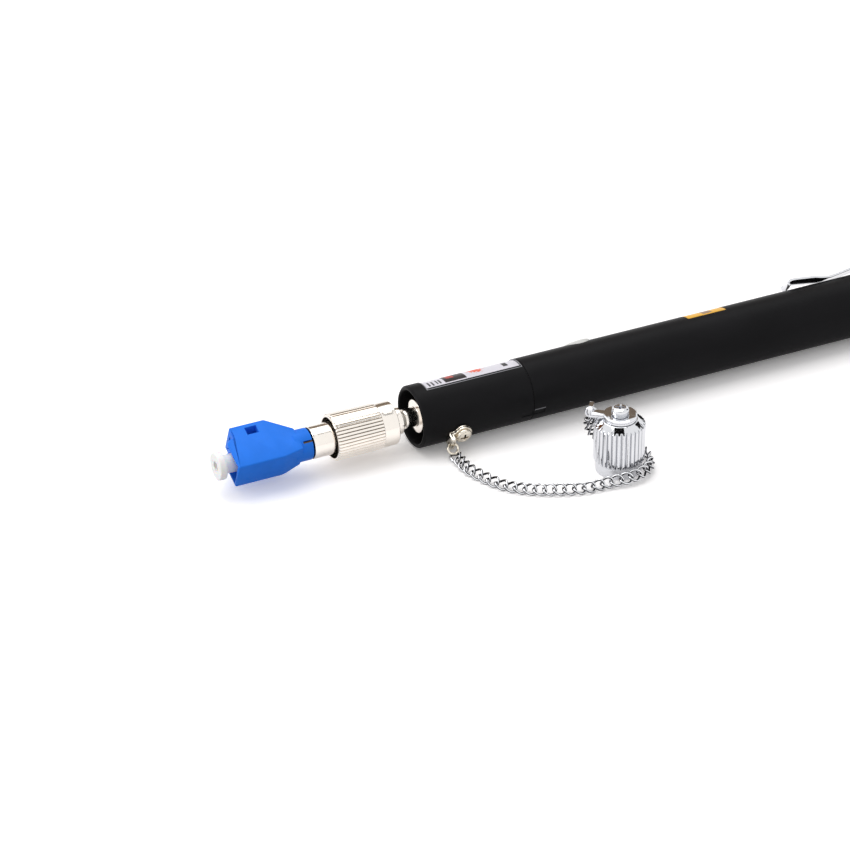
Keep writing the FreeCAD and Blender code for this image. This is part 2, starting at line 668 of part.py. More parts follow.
def tail_cap():
    floor = SEAT_END + " + seat_gap"
    groove_low = BARREL_END + " - seal_place - seal_land"
    groove_high = BARREL_END + " - seal_place + seal_land"
    groove_floor = "seal_radius - seal_wire - seat_gap"
    return turned("tail_cap", (
        (BARREL_END + " + seat_gap", "pen_radius - seam_chamfer"),
        (BARREL_END + " + seat_gap + seam_chamfer", "pen_radius"),
        (BARREL_END + " + tail_length - tail_chamfer", "pen_radius"),
        (BARREL_END + " + tail_length", "pen_radius - tail_chamfer"),
        (BARREL_END + " + tail_length", "0"),
        (floor, "0"),
        (floor, "tail_bore"),
        (BARREL_END + " - tail_spigot", "tail_bore"),
        (BARREL_END + " - tail_spigot", "barrel_bore - run_gap"),
        (groove_low, "barrel_bore - run_gap"),
        (groove_low, groove_floor),
        (groove_high, groove_floor),
        (groove_high, "barrel_bore - run_gap"),
        (BARREL_END + " + seat_gap", "barrel_bore - run_gap"),
    ))


def torus(label, radius, wire):
    """A closed ring of round wire, flat in its own XY plane"""
    ring = doc.addObject("Part::Torus", label)
    ring.Label = label
    ring.setExpression("Radius1", measure(radius)[0])
    ring.setExpression("Radius2", measure(wire)[0])
    PIECES.append(ring)
    return ring


def battery_spring():
    """Coil spring of square wire, so that its turns stay light"""
    coil = Part.makeHelix(VALUE["spring_pitch"], VALUE["spring_length"] - 2 * VALUE["spring_wire"],
                          VALUE["spring_radius"])
    half = 0.5 * VALUE["spring_wire"]
    corners = [FreeCAD.Vector(VALUE["spring_radius"] + across, 0, up)
               for across, up in ((-half, -half), (half, -half), (half, half), (-half, half), (-half, -half))]
    solid = Part.Wire(coil).makePipeShell([Part.makePolygon(corners)], True, True)
    spring = doc.addObject("Part::Feature", "battery_spring")
    spring.Label = "battery_spring"
    spring.Shape = solid
    PIECES.append(spring)
    return spring


def pocket_clip():
    """Sprung leaf: curled tip, nip on the barrel, long rise and a foot along the skin"""
    body = new_body("pocket_clip")
    skin = "pen_radius + seat_gap"
    root = BARREL_END + " - clip_end - clip_foot - clip_rise"
    tip = root + " - clip_length"
    under = (
        (tip, skin + " + 0.2*clip_curl"),
        (tip + " + 0.3*clip_curl", skin + " + clip_curl"),
        (tip + " + 1.2*clip_curl", skin + " + clip_curl"),
        (tip + " + 5*clip_curl", skin + " + clip_dip"),
        (tip + " + 8*clip_curl", skin + " + clip_dip + 0.3*clip_rise"),
        (root + " - 1.5*clip_rise", skin + " + clip_rise"),
        (root, skin + " + 0.9*clip_rise"),
        (root + " + clip_rise", skin),
        (root + " + clip_rise + clip_foot", skin),
    )
    over = (
        (tip + " - clip_thickness", skin + " + 0.1*clip_curl"),
        (tip + " - 0.3*clip_thickness", skin + " + clip_curl + 0.5*clip_thickness"),
        (tip + " + 0.5*clip_curl", skin + " + clip_curl + clip_thickness"),
        (tip + " + 1.3*clip_curl", skin + " + clip_curl + clip_thickness"),
        (tip + " + 5*clip_curl", skin + " + clip_dip + clip_thickness"),
        (tip + " + 8*clip_curl", skin + " + clip_dip + 0.3*clip_rise + clip_thickness"),
        (root + " - 1.5*clip_rise", skin + " + clip_rise + clip_thickness"),
        (root + " + clip_thickness", skin + " + 0.9*clip_rise + clip_thickness"),
        (root + " + clip_rise + 0.5*clip_thickness", skin + " + clip_thickness"),
        (root + " + clip_rise + clip_foot", skin + " + clip_thickness"),
    )
    side = outline(body, "XZ_Plane", under + tuple(reversed(over)))
    extrude(body, "Pad", side, "clip_width", midplane=True)
    return body


def adapter_barrel():
    """Tube that carries the nut, its stop collar and the keyed nose"""
    body = turned("adapter_barrel", (
        (NOSE_END, "ferrule_radius + seat_gap"),
        (NOSE_END, "nose_radius - seam_chamfer"),
        (NOSE_END + " - seam_chamfer", "nose_radius"),
        (NOSE_END + " - nose_length", "nose_radius"),
        (NOSE_END + " - nose_length", "stop_radius"),
        (STOP_START, "stop_radius"),
        (STOP_START, "tube_radius"),
        (TUBE_END, "tube_radius"),
        (TUBE_END, "stem_radius"),
        (STEM_END, "stem_radius"),
        (STEM_END, "ferrule_radius + seat_gap"),
    ))
    key = rectangle(body, "XZ_Plane", NOSE_END + " - nose_key_length", NOSE_END,
                    "ferrule_radius + 0.5*nose_key_height", "nose_radius + nose_key_height")
    extrude(body, "Pad", key, "nose_key_width", midplane=True)
    return body


def ferrule():
    end = "ferrule_reach"
    return turned("ferrule", (
        (end, "0"),
        (end, "ferrule_radius - seam_chamfer"),
        (end + " - 2*seam_chamfer", "ferrule_radius"),
        (end + " - ferrule_length", "ferrule_radius"),
        (end + " - ferrule_length", "0"),
    ))


def coupling_nut():
    """Nut with a smooth collar, a web that rides on the tube and straight teeth"""
    body = turned("coupling_nut", (
        (NUT_FRONT, "nut_thread"),
        (NUT_FRONT, "collar_radius - seam_chamfer"),
        (NUT_FRONT + " - seam_chamfer", "collar_radius"),
        (COLLAR_END, "collar_radius"),
        (COLLAR_END, "nut_radius"),
        (NUT_REAR + " + seam_chamfer", "nut_radius + nut_flare"),
        (NUT_REAR, "nut_radius + nut_flare - seam_chamfer"),
        (NUT_REAR, "nut_rear_bore"),
        (WEB_REAR, "nut_rear_bore"),
        (WEB_REAR, "tube_radius + run_gap"),
        (WEB_FRONT, "tube_radius + run_gap"),
        (WEB_FRONT, "nut_thread"),
    ))
    valley = outline(body, "YZ_Plane", (
        ("-0.5*knurl_width", "nut_radius + nut_flare + knurl_depth"),
        ("0", "nut_radius - knurl_depth"),
        ("0.5*knurl_width", "nut_radius + nut_flare + knurl_depth"),
    ), NUT_REAR)
    groove = extrude(body, "Pocket", valley, "knurl_length", backwards=True)
    around(body, groove, "knurl_count", "N_Axis")
    return body


def nut_ring():
    """Split ring between the tube and the nut"""
    body = turned("nut_ring", (
        (WEB_REAR + " - seat_gap", "tube_radius + run_gap"),
        (WEB_REAR + " - seat_gap", "nut_rear_bore - run_gap"),
        (WEB_REAR + " - seat_gap - nut_ring_length", "nut_rear_bore - run_gap"),
        (WEB_REAR + " - seat_gap - nut_ring_length", "tube_radius + run_gap"),
    ))
    slot = rectangle(body, "XY_Plane", WEB_REAR + " - 2*nut_ring_length", WEB_REAR, "-0.5*nut_ring_slot",
                     "0.5*nut_ring_slot")
    extrude(body, "Pocket", slot, "2*nut_rear_bore", backwards=True)
    return body


def lc_housing():
    """Blue moulded housing with a square port, a latch way and a round jaw neck"""
    body = new_body("lc_housing")
    side = outline(body, "XZ_Plane", (
        (HOUSING_FRONT, "-1*housing_low"),
        (HOUSING_FRONT, "housing_step"),
        (HOUSING_FRONT + " + 0.5*housing_setback", "housing_step + 0.5*housing_setback"),
        (HOUSING_FRONT + " + housing_setback", "housing_step + 0.5*housing_setback"),
        (HOUSING_FRONT + " + housing_setback", "housing_high"),
        (HOUSING_FRONT + " + housing_apex", "housing_high"),
        (HOUSING_REAR, "housing_shoulder"),
        (HOUSING_REAR, "-1*housing_low + housing_taper"),
        (HOUSING_REAR + " - housing_relief", "-1*housing_low"),
    ))
    extrude(body, "Pad", side, "housing_thickness", midplane=True)
    bevel = outline(body, "XY_Plane", (
        (HOUSING_REAR + " - housing_relief", "0.5*housing_thickness"),
        (HOUSING_REAR, "0.5*housing_thickness - housing_relief_depth"),
        (HOUSING_REAR + " + seam_chamfer", "0.5*housing_thickness + housing_relief_depth"),
    ), "-1*housing_high")
    extrude(body, "Pocket", bevel, "2*housing_high + housing_low", backwards=True)
    neck = disc(body, "YZ_Plane", "0", "0", "housing_neck", NECK_END)
    extrude(body, "Pad", neck, "housing_neck_length", backwards=True)
    slot = rectangle(body, "XY_Plane", HOUSING_REAR + " + neck_slot", NECK_END, "-0.5*neck_slot",
                     "0.5*neck_slot", turn=VALUE["neck_slot_turn"])
    extrude(body, "Pocket", slot, "4*housing_neck", midplane=True)
    mouth = rectangle(body, "YZ_Plane", "-0.5*housing_thickness + port_wall",
                      "0.5*housing_thickness - port_wall", "-1*housing_low + port_wall",
                      "housing_step - port_wall", HOUSING_FRONT)
    extrude(body, "Pocket", mouth, "port_sink", backwards=True)
    port = rectangle(body, "YZ_Plane", "-0.5*socket_side", "0.5*socket_side", "-0.5*socket_side",
                     "0.5*socket_side", HOUSING_FRONT)
    extrude(body, "Pocket", port, "socket_depth", backwards=True)
    latch = rectangle(body, "YZ_Plane", "-0.5*latch_width", "0.5*latch_width", "0", "latch_top",
                      HOUSING_FRONT)
    extrude(body, "Pocket", latch, "housing_apex", backwards=True)
    window = rectangle(body, "XZ_Plane", HOUSING_FRONT + " + window_start",
                       HOUSING_FRONT + " + window_start + window_length", "window_low", "window_high")
    extrude(body, "Pocket", window, "2*housing_thickness", midplane=True)
    seat = disc(body, "YZ_Plane", "0", "0", "stem_radius + seat_gap", STEM_END)
    extrude(body, "Pocket", seat, "stem_length", backwards=True)
    core = disc(body, "YZ_Plane", "0", "0", "core_radius + seat_gap", HOUSING_FRONT)
    extrude(body, "Pocket", core, "housing_length", backwards=True)
    return body


def lc_sleeve():
    start = HOUSING_FRONT + " + core_start"
    return turned("lc_sleeve", (
        (start, "core_bore"),
        (start, "core_radius"),
        (STEM_END + " - core_gap", "core_radius"),
        (STEM_END + " - core_gap", "core_bore"),
    ))


def dust_plug():
    head_end = HOUSING_FRONT + " - plug_gap"
    return turned("dust_plug", (
        (head_end + " - plug_head_length", "plug_bore"),
        (head_end + " - plug_head_length", "plug_head_radius - seam_chamfer"),
        (head_end + " - plug_head_length + seam_chamfer", "plug_head_radius"),
        (head_end + " - seam_chamfer", "plug_head_radius"),
        (head_end, "plug_head_radius - seam_chamfer"),
        (head_end, "plug_neck_radius"),
        (PORT_FLOOR, "plug_neck_radius"),
        (PORT_FLOOR, "0.5*socket_side - run_gap"),
        (PORT_FLOOR + " + plug_stem_length", "0.5*socket_side - run_gap"),
        (PORT_FLOOR + " + plug_stem_length", "plug_bore"),
    ))


def screw(label, low, head_low, head_high, shank, head):
    """A cross-recessed screw about its own upright axis"""
    body = turned(label, (
        ("0", low),
        (shank, low),
        (shank, head_low),
        (head, head_low),
        (head, head_high + " - 1.5*seam_chamfer"),
        (head + " - seam_chamfer", head_high + " - 0.6*seam_chamfer"),
        ("0.5*" + head, head_high),
        ("0", head_high),
    ), "V_Axis")
    cross_recess(body, head_high)
    return body


def strap(label, eye, hole, reach, height, hole_up, side):
    """Two layers of one folded strip: eyes at the screw and an upright tab with a hole for the jump ring.

    side is "1*" or "-1*": the tab reaches out to that side of the tongue.
    """
    body = new_body(label)
    tab_outer = reach + " + " + STRAP_STACK
    plate = outline(body, "XZ_Plane", (
        ("0", "0"),
        (tab_outer, "0"),
        (tab_outer, STRAP_STACK + " + 0.5*strap_thickness"),
        (reach, STRAP_STACK + " + 0.5*strap_thickness"),
        (reach, STRAP_STACK),
        ("0", STRAP_STACK),
    ))
    extrude(body, "Pad", plate, "strap_width", midplane=True)
    extrude(body, "Pad", disc(body, "XY_Plane", "0", "0", eye), STRAP_STACK)
    back = "-0.5*" if side == "1*" else "0.5*"
    tab = rectangle(body, "YZ_Plane", back + "strap_width", side + "tab_drop", "0", height, reach)
    extrude(body, "Pad", tab, STRAP_STACK)
    seam = outline(body, "XZ_Plane", (
        ("-2*" + eye, "strap_thickness"),
        (reach + " + strap_thickness + strap_gap", "strap_thickness"),
        (reach + " + strap_thickness + strap_gap", height + " - strap_thickness"),
        (reach + " + strap_thickness", height + " - strap_thickness"),
        (reach + " + strap_thickness", "strap_thickness + strap_gap"),
        ("-2*" + eye, "strap_thickness + strap_gap"),
    ))
    extrude(body, "Pocket", seam, "4*" + eye, midplane=True)
    extrude(body, "Pocket", disc(body, "XY_Plane", "0", "0", hole), STRAP_STACK, backwards=True)
    ring_hole = disc(body, "YZ_Plane", side + "tab_hole_side", hole_up, "tab_hole", reach)
    extrude(body, "Pocket", ring_hole, STRAP_STACK, backwards=True)
    return body


def dust_cap():
    """Screw cap with a smooth skirt, straight flutes, a bevelled shoulder and a boss for its strap"""
    body = turned("dust_cap", (
        ("cap_bore", "0"),
        ("cap_base", "0"),
        ("cap_base", "cap_base_height"),
        ("cap_radius", "cap_base_height + cap_radius - cap_base"),
        ("cap_radius", "cap_flute_top"),
        ("cap_shoulder", "cap_height"),
        ("boss_radius", "cap_height"),
        ("boss_radius", "cap_height + boss_height"),
        ("0", "cap_height + boss_height"),
        ("0", "cap_depth"),
        ("cap_bore", "cap_depth"),
    ), "V_Axis")
    flute = disc(body, "XY_Plane", "cap_radius + 0.4*flute_radius", "0", "flute_radius", "cap_base_height")
    cut = extrude(body, "Pocket", flute, "cap_height", backwards=True)
    around(body, cut, "flute_count", "N_Axis")
    hole = disc(body, "XY_Plane", "0", "0", "cap_screw_shank + seat_gap",
                "cap_height + boss_height - cap_screw_length")
    extrude(body, "Pocket", hole, "2*cap_screw_length", backwards=True)
    return body


def link_line():
    """Middle line of a link's wire along X: an oval that is twisted from end to end"""
    bend = 0.5 * (VALUE["chain_width"] - VALUE["chain_wire"])
    half_length = 0.5 * (VALUE["chain_pitch"] + VALUE["chain_play"] + VALUE["chain_wire"])
    straight = half_length - bend
    centres = []
    for end in (1, -1):
        for step in range(5):
            angle = math.radians(-90 + 45 * step)
            along = end * (straight + bend * math.cos(angle))
            across = end * bend * math.sin(angle)
            twist = math.radians(0.5 * VALUE["chain_twist"]) * along / half_length
            centres.append(FreeCAD.Vector(along, across * math.cos(twist), across * math.sin(twist)))
    return centres


def half_height(roll):
    """From the middle of a link to its lowest point when it is rolled about the chain, in degrees"""
    turn = FreeCAD.Rotation(AXIS_X, roll)
    return max(turn.multVec(centre).z for centre in link_line()) + 0.5 * VALUE["chain_wire"]


def link_solid():
    """One chain link along X: wire of six sides round the twisted oval"""
    radius = 0.5 * VALUE["chain_wire"]
    half_length = 0.5 * (VALUE["chain_pitch"] + VALUE["chain_play"] + VALUE["chain_wire"])
    centres = link_line()
    rings = []
    for index, centre in enumerate(centres):
        tangent = (centres[(index + 1) % len(centres)] - centres[index - 1]).normalize()
        twist = math.radians(0.5 * VALUE["chain_twist"]) * centre.x / half_length
        face = FreeCAD.Vector(0, -math.sin(twist), math.cos(twist))
        side = tangent.cross(face).normalize()
        face = side.cross(tangent)
        sixths = [math.radians(60 * step) for step in range(6)]
        rings.append([centre + side * (radius * math.cos(a)) + face * (radius * math.sin(a)) for a in sixths])
    faces = []
    for index, ring in enumerate(rings):
        after = rings[(index + 1) % len(rings)]
        for step in range(6):
            ahead = (step + 1) % 6
            for corners in ((ring[step], after[step], after[ahead]), (ring[step], after[ahead], ring[ahead])):
                faces.append(Part.Face(Part.makePolygon(corners + (corners[0],))))
    solid = Part.makeSolid(Part.makeShell(faces))
    if solid.Volume < 0:
        solid.reverse()
    return solid


def framed(origin, along, up):
    """A placement whose X runs along and whose Z is as near to up as it can be"""
    across = up.cross(along).normalize()
    return FreeCAD.Placement(origin, FreeCAD.Rotation(along, across, along.cross(across), "XZY"))


def chain_route():
    """Middle line of the chain and its roll at each point: out of the lug ring, over the floor, round the cap
    and up to its strap. At 0 degrees a link lies flat, at 90 it stands on its edge.
    """
    lug = LUG_RING_FRAME.multVec(FreeCAD.Vector(0, VALUE["ring_radius"], 0))
    lug -= AXIS_Z * VALUE["chain_drop"]
    cap = CAP_RING_FRAME.multVec(FreeCAD.Vector(0, -VALUE["ring_radius"], 0))
    post = FreeCAD.Vector(VALUE["cap_x"], VALUE["cap_y"], 0)
    free = ((5.75, -10.6, 0, 34), (5.65, -12.9, 0, 38), (5.95, -15.4, 0, 40), (6.8, -17.8, 0, 36),
            (7.9, -20.2, 0, 26), (9.3, -22.6, 0, 17), (11.3, -24.9, 0, 20), (13.9, -27.0, 0, 34),
            (16.9, -28.8, 0, 46), (20.0, -30.1, 0, 42), (23.0, -31.0, 0, 30), (26.0, -31.4, 0.05, 23),
            (28.8, -31.6, 0.15, 31))
    wrap = ((248, 0.0, 0.3, 45), (268, 0.0, 0.5, 58), (290, 0.0, 0.6, 67), (315, 0.0, 0.5, 70),
            (340, 0.0, 0.3, 70), (5, 0.0, 0.2, 70), (30, 0.1, 0.2, 68), (55, 0.3, 0.35, 64),
            (80, 0.6, 1.0, 60), (99, 0.8, 2.8, 50), (113, 0.6, 5.4, 30), (122, 0.1, 8.2, 10))
    points = [lug]
    rolls = [VALUE["chain_start_roll"]]
    for x, y, z, roll in free:
        points.append(FreeCAD.Vector(x, y, half_height(roll) + VALUE["chain_lift"] + z))
        rolls.append(roll)
    for angle, out, z, roll in wrap:
        ray = FreeCAD.Vector(math.cos(math.radians(angle)), math.sin(math.radians(angle)), 0)
        reach = number("cap_radius + chain_clearance") + half_height(roll - 90) + out
        points.append(post + ray * reach + FreeCAD.Vector(0, 0, half_height(roll) + VALUE["chain_lift"] + z))
        rolls.append(roll)
    points.append(cap)
    rolls.append(0.0)
    curve = Part.BSplineCurve()
    curve.interpolate(points)
    return curve, [curve.parameter(point) for point in points], rolls


def roll_at(place, stations, rolls):
    """The roll between two stations of the route, in even steps"""
    for start, end, low, high in zip(stations, stations[1:], rolls, rolls[1:]):
        if place <= end:
            return low + (high - low) * (place - start) / (end - start)
    return rolls[-1]


def square_roll(along, up, twist, wire):
    """Roll about the chain, from 0 to 180 degrees, that sets the twisted end of a link square to a ring"""
    across = up.cross(along)
    normal = up * math.cos(twist) - across * math.sin(twist)
    target = wire - along * wire.dot(along)
    roll = math.atan2(normal.cross(target).dot(along), normal.dot(target))
    return math.degrees(roll) % 180


def level_ups(directions):
    """For each link the direction it faces: upwards on the floor, carried on from there to both ends"""
    ups = [AXIS_Z] * len(directions)
    middle = len(directions) // 3
    for order in (range(middle, len(directions)), range(middle, -1, -1)):
        up = AXIS_Z
        for index in order:
            along = directions[index]
            up = (up - along * up.dot(along)).normalize()
            ups[index] = up
    return ups


def chain():
    """Curb chain of separate links, each hooked through the next and the end ones through the jump rings"""
    curve, stations, rolls = chain_route()
    hook = 0.5 * (VALUE["chain_pitch"] - VALUE["chain_wire"])
    length = curve.length() - 2 * hook
    gaps = int(length / VALUE["chain_pitch"])
    places = [curve.parameterAtDistance(hook + index * length / gaps, curve.FirstParameter)
              for index in range(gaps + 1)]
    directions = [FreeCAD.Vector(*curve.tangent(place)[0]).normalize() for place in places]
    ups = level_ups(directions)
    half_twist = math.radians(0.5 * VALUE["chain_twist"])
    end_roll = square_roll(directions[-1], ups[-1], half_twist, CAP_RING_FRAME.Rotation.multVec(AXIS_X))
    ramp = VALUE["chain_ramp"]
    link = link_solid()
    links = []
    for index, (place, along, up) in enumerate(zip(places, directions, ups)):
        share = max(0.0, 1 - (gaps - index) / ramp)
        roll = (1 - share) * roll_at(place, stations, rolls) + share * end_roll
        up = FreeCAD.Rotation(along, roll).multVec(up)
        copy = link.copy()
        copy.Placement = framed(curve.value(place), along, up)
        links.append(copy)
    feature = doc.addObject("Part::Feature", "chain")
    feature.Label = "chain"
    feature.Shape = Part.makeCompound(links)
    PIECES.append(feature)
    return feature


def build():
    """Makes every piece and sets it in its group's frame"""
    groups = (
        (PEN_FRAME, (
            front_sleeve(),
            main_barrel(),
            index_key(),
            film("sleeve_label", "label_start", LABEL_END, "label_depth", "label_arc"),
            film("barrel_label", "sleeve_length + tag_start", "sleeve_length + tag_start + tag_length",
                 "tag_depth", "tag_arc"),
            port_body(),
            split_sleeve(),
            laser_housing(),
            focus_lens(),
            laser_diode(),
            driver_board(),
            tact_switch(),
            battery_contact(),
            cell("battery_front", CELLS_START),
            cell("battery_rear", CELLS_START + " + cell_length"),
            spring_seat(),
            tail_cap(),
            pocket_clip(),
        )),
        (PEN_FRAME * frame(number(BUTTON_AT), 0, 0), (push_button(),)),
        (PEN_FRAME * frame(number(BARREL_END + " - seal_place"), 0, 0, FreeCAD.Rotation(AXIS_Y, 90)), (
            torus("tail_seal", "seal_radius", "seal_wire"),
        )),
        (PEN_FRAME * frame(number(CELLS_END + " + spring_wire"), 0, 0, FreeCAD.Rotation(AXIS_Y, 90)), (
            battery_spring(),
        )),
        (ADAPTER_FRAME, (
            adapter_barrel(),
            ferrule(),
            coupling_nut(),
            nut_ring(),
            lc_housing(),
            lc_sleeve(),
            dust_plug(),
        )),
        (LUG_FRAME, (
            screw("lug_screw", "pen_radius - screw_grip", LUG_HEAD, LUG_HEAD + " + screw_head_height",
                  "screw_shank", "screw_head_radius"),
        )),
        (LUG_STRAP_FRAME, (
            strap("lug_strap", "lug_eye", "screw_shank + run_gap", "lug_reach", "lug_tab_height",
                  "lug_hole_up", "1*"),
        )),
        (LUG_RING_FRAME, (torus("lug_ring", "ring_radius", "ring_wire"),)),
        (CAP_FRAME, (
            dust_cap(),
            screw("cap_screw", CAP_HEAD + " - cap_screw_length", CAP_HEAD, CAP_HEAD + " + cap_screw_height",
                  "cap_screw_shank", "cap_screw_head"),
        )),
        (CAP_STRAP_FRAME, (
            strap("cap_strap", "cap_eye", "boss_radius + run_gap", "cap_reach", "cap_tab_height",
                  "cap_hole_up", "-1*"),
        )),
        (CAP_RING_FRAME, (torus("cap_ring", "ring_radius", "ring_wire"),)),
        (frame(0, 0, 0), (chain(),)),
    )
    doc.recompute()
    for group_frame, pieces in groups:
        for piece in pieces:
            piece.Placement = group_frame
    doc.recompute()


def centre_footprint():
    """Moves the whole object so that the middle of its footprint is the origin"""
    box = FreeCAD.BoundBox()
    for piece in PIECES:
        box.add(piece.Shape.optimalBoundingBox(True, False))
    middle = frame(-0.5 * (box.XMin + box.XMax), -0.5 * (box.YMin + box.YMax), -box.ZMin)
    for piece in PIECES:
        piece.Placement = middle * piece.Placement
    doc.recompute()


def check():
    """Stops on a failed feature or a piece with no sound solid"""
    for item in doc.Objects:
        if "Invalid" in item.State or "Error" in item.State:
            raise RuntimeError("failed: " + item.Name)
    for piece in PIECES:
        if piece.Shape.isNull() or not piece.Shape.isValid() or not piece.Shape.Solids:
            raise RuntimeError("no sound solid: " + piece.Label)


def write():
    """One STEP file for each piece"""
    os.makedirs("parts", exist_ok=True)
    for piece in PIECES:
        piece.Shape.exportStep("parts/" + piece.Label + ".step")


fill_sheet()
build()
centre_footprint()
check()
write()
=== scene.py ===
"""Looks of the visual fault locator: pen, fibre adapter, chained dust cap."""

import bmesh
import bpy
import numpy as np
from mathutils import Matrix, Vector


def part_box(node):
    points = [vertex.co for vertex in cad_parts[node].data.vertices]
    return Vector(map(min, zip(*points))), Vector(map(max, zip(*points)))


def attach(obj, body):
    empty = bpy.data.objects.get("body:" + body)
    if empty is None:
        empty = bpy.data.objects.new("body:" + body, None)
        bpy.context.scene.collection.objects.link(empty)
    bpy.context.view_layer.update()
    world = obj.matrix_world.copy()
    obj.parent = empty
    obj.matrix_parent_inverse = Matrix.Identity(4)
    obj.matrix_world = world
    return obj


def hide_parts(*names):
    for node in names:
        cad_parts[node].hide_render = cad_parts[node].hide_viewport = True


bl_info = {
    "name": "Fault Locator Looks",
    "version": (1, 0, 0),
    "blender": (4, 5, 0),
    "location": "3D View > Sidebar > Fault Locator",
    "description": "Builds the visible surfaces of a pen-shaped fibre fault locator",
    "category": "Add Mesh",
}

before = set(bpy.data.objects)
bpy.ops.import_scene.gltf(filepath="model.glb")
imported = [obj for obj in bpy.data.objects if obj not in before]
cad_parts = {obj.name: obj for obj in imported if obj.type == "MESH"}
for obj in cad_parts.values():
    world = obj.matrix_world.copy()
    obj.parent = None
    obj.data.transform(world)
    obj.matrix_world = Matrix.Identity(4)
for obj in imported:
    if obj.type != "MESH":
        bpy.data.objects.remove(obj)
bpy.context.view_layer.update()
MM = 0.001
TURN = 2 * np.pi


# ---------------------------------------------------------------- local frames

def node_box(node):
    """Lowest and highest corner of an engineering node, in millimetres"""
    low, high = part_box(node)
    return np.array(low) / MM, np.array(high) / MM


def turned_about_x(degrees):
    """Rotation matrix about the X axis"""
    c, s = np.cos(np.radians(degrees)), np.sin(np.radians(degrees))
    return np.array([[1, 0, 0], [0, c, -s], [0, s, c]])


def turned_about_z(degrees):
    """Rotation matrix about the Z axis"""
    c, s = np.cos(np.radians(degrees)), np.sin(np.radians(degrees))
    return np.array([[c, -s, 0], [s, c, 0], [0, 0, 1]])


def place(origin, rotation):
    """4 x 4 matrix of a local frame, in millimetres"""
    matrix = np.eye(4)
    matrix[:3, :3] = rotation
    matrix[:3, 3] = origin
    return matrix


def along_x(matrix, distance):
    """The same frame moved along its own X axis"""
    return matrix @ place((distance, 0, 0), np.eye(3))


def rolled(matrix, degrees):
    """The same frame turned about its own X axis"""
    return matrix @ place((0, 0, 0), turned_about_x(degrees))


# On the pen axis +X runs towards the tail and +Z towards the button, the labels and the clip. Stations are
# distances from the mouth of the sleeve, and the adapter's are negative. Lengths are in millimetres, and the
# angles named below are in radians.
BARREL_LOW, BARREL_HIGH = node_box("main_barrel")
MOUTH = np.array([node_box("front_sleeve")[0][0], *(0.5 * (BARREL_LOW + BARREL_HIGH))[1:]])
CAP_LOW, CAP_HIGH = node_box("dust_cap")
CAP_FOOT = np.array([*(0.5 * (CAP_LOW + CAP_HIGH))[:2], CAP_LOW[2]])
PEN = place(MOUTH, turned_about_x(-46))
ADAPTER = place(MOUTH, turned_about_x(-68))
JAWS = rolled(ADAPTER, 117.5)
BUTTON = along_x(PEN, 39.9)
LUG = rolled(along_x(PEN, 8.4), 155)
CAP = place(CAP_FOOT, turned_about_z(145))

SEAM = 24.8
SEAM_STEP = 0.15
SPIGOT_END = 28.8
SPIGOT_BORE = 4.95
PORT_BACK = 16.0
SLEEVE_BORE = 5.6
FRONT_CHAMFER, MOUTH_CHAMFER = 0.4, 0.25
BARREL_BORE = 5.5
BARREL_END = 148.5
PEN_END = 156.5
LABEL_START, LABEL_END = 3.3, 24.4
LABEL_HALF_ANGLE = np.radians(53)
TAG_START, TAG_END = 64.1, 73.2
TAG_HALF_ANGLE = np.radians(40)
FILM_MARGIN, FILM_THICKNESS = 0.1, 0.12
KEY_START, KEY_END = 22.2, 27.4
KEY_ANGLE, KEY_HALF_ANGLE = np.radians(-155), 0.1
KEY_DEPTH = 0.7
SEAT_GAP = 0.02
TAIL_LEAD, TAIL_RIDGE = 1.0, 0.16


# ---------------------------------------------------------------- sizes and colours

def length(name, description, millimetres):
    """A length property whose default is given in millimetres"""
    return bpy.props.FloatProperty(name=name, description=description, default=millimetres * MM,
                                   precision=5, min=0.0, subtype="DISTANCE", unit="LENGTH")


def colour(name, description, *rgb):
    """A colour property"""
    return bpy.props.FloatVectorProperty(name=name, description=description, default=rgb, min=0.0, max=1.0,
                                         size=3, subtype="COLOR")


def share(name, description, default, high=1.0):
    """A plain number between 0 and high"""
    return bpy.props.FloatProperty(name=name, description=description, default=default, min=0.0, max=high)


def count(name, description, default, low, high):
    """A whole number between low and high"""
    return bpy.props.IntProperty(name=name, description=description, default=default, min=low, max=high)


def power(name, description, default):
    """The power of a lamp, in watts"""
    return bpy.props.FloatProperty(name=name, description=description, default=default, min=0.0, unit="POWER")


class PenSizes(bpy.types.PropertyGroup):
    """Sizes of the pen that the looks depend on"""
    radius: length("Radius", "Outside of the sleeve, the barrel and the tail cap", 6.5)
    edge: length("Broken edge", "Rounding of the turned edges", 0.12)
    label_depth: length("Label recess", "Depth of the recess for the sleeve label", 0.3)
    tag_depth: length("Tag recess", "Depth of the recess for the barrel label", 0.15)
    thread_pitch: length("Port thread pitch", "Pitch of the thread on the port", 0.75)
    thread_depth: length("Port thread depth", "Depth of the thread on the port", 0.22)
    clip_thickness: length("Clip thickness", "Sheet of the pocket clip", 0.5)
    clip_width: length("Clip width", "Width of the pocket clip", 4.6)


class AdapterSizes(bpy.types.PropertyGroup):
    """Sizes of the adapter that the looks depend on"""
    teeth: count("Teeth", "Teeth round the nut", 44, 12, 90)
    tooth_depth: length("Tooth depth", "Depth of the valleys between the teeth", 0.28)
    housing_edge: length("Housing edge", "Rounding of the moulded edges", 0.3)
    cut_edge: length("Cut edge", "Bevel of the openings in the housing", 0.07)


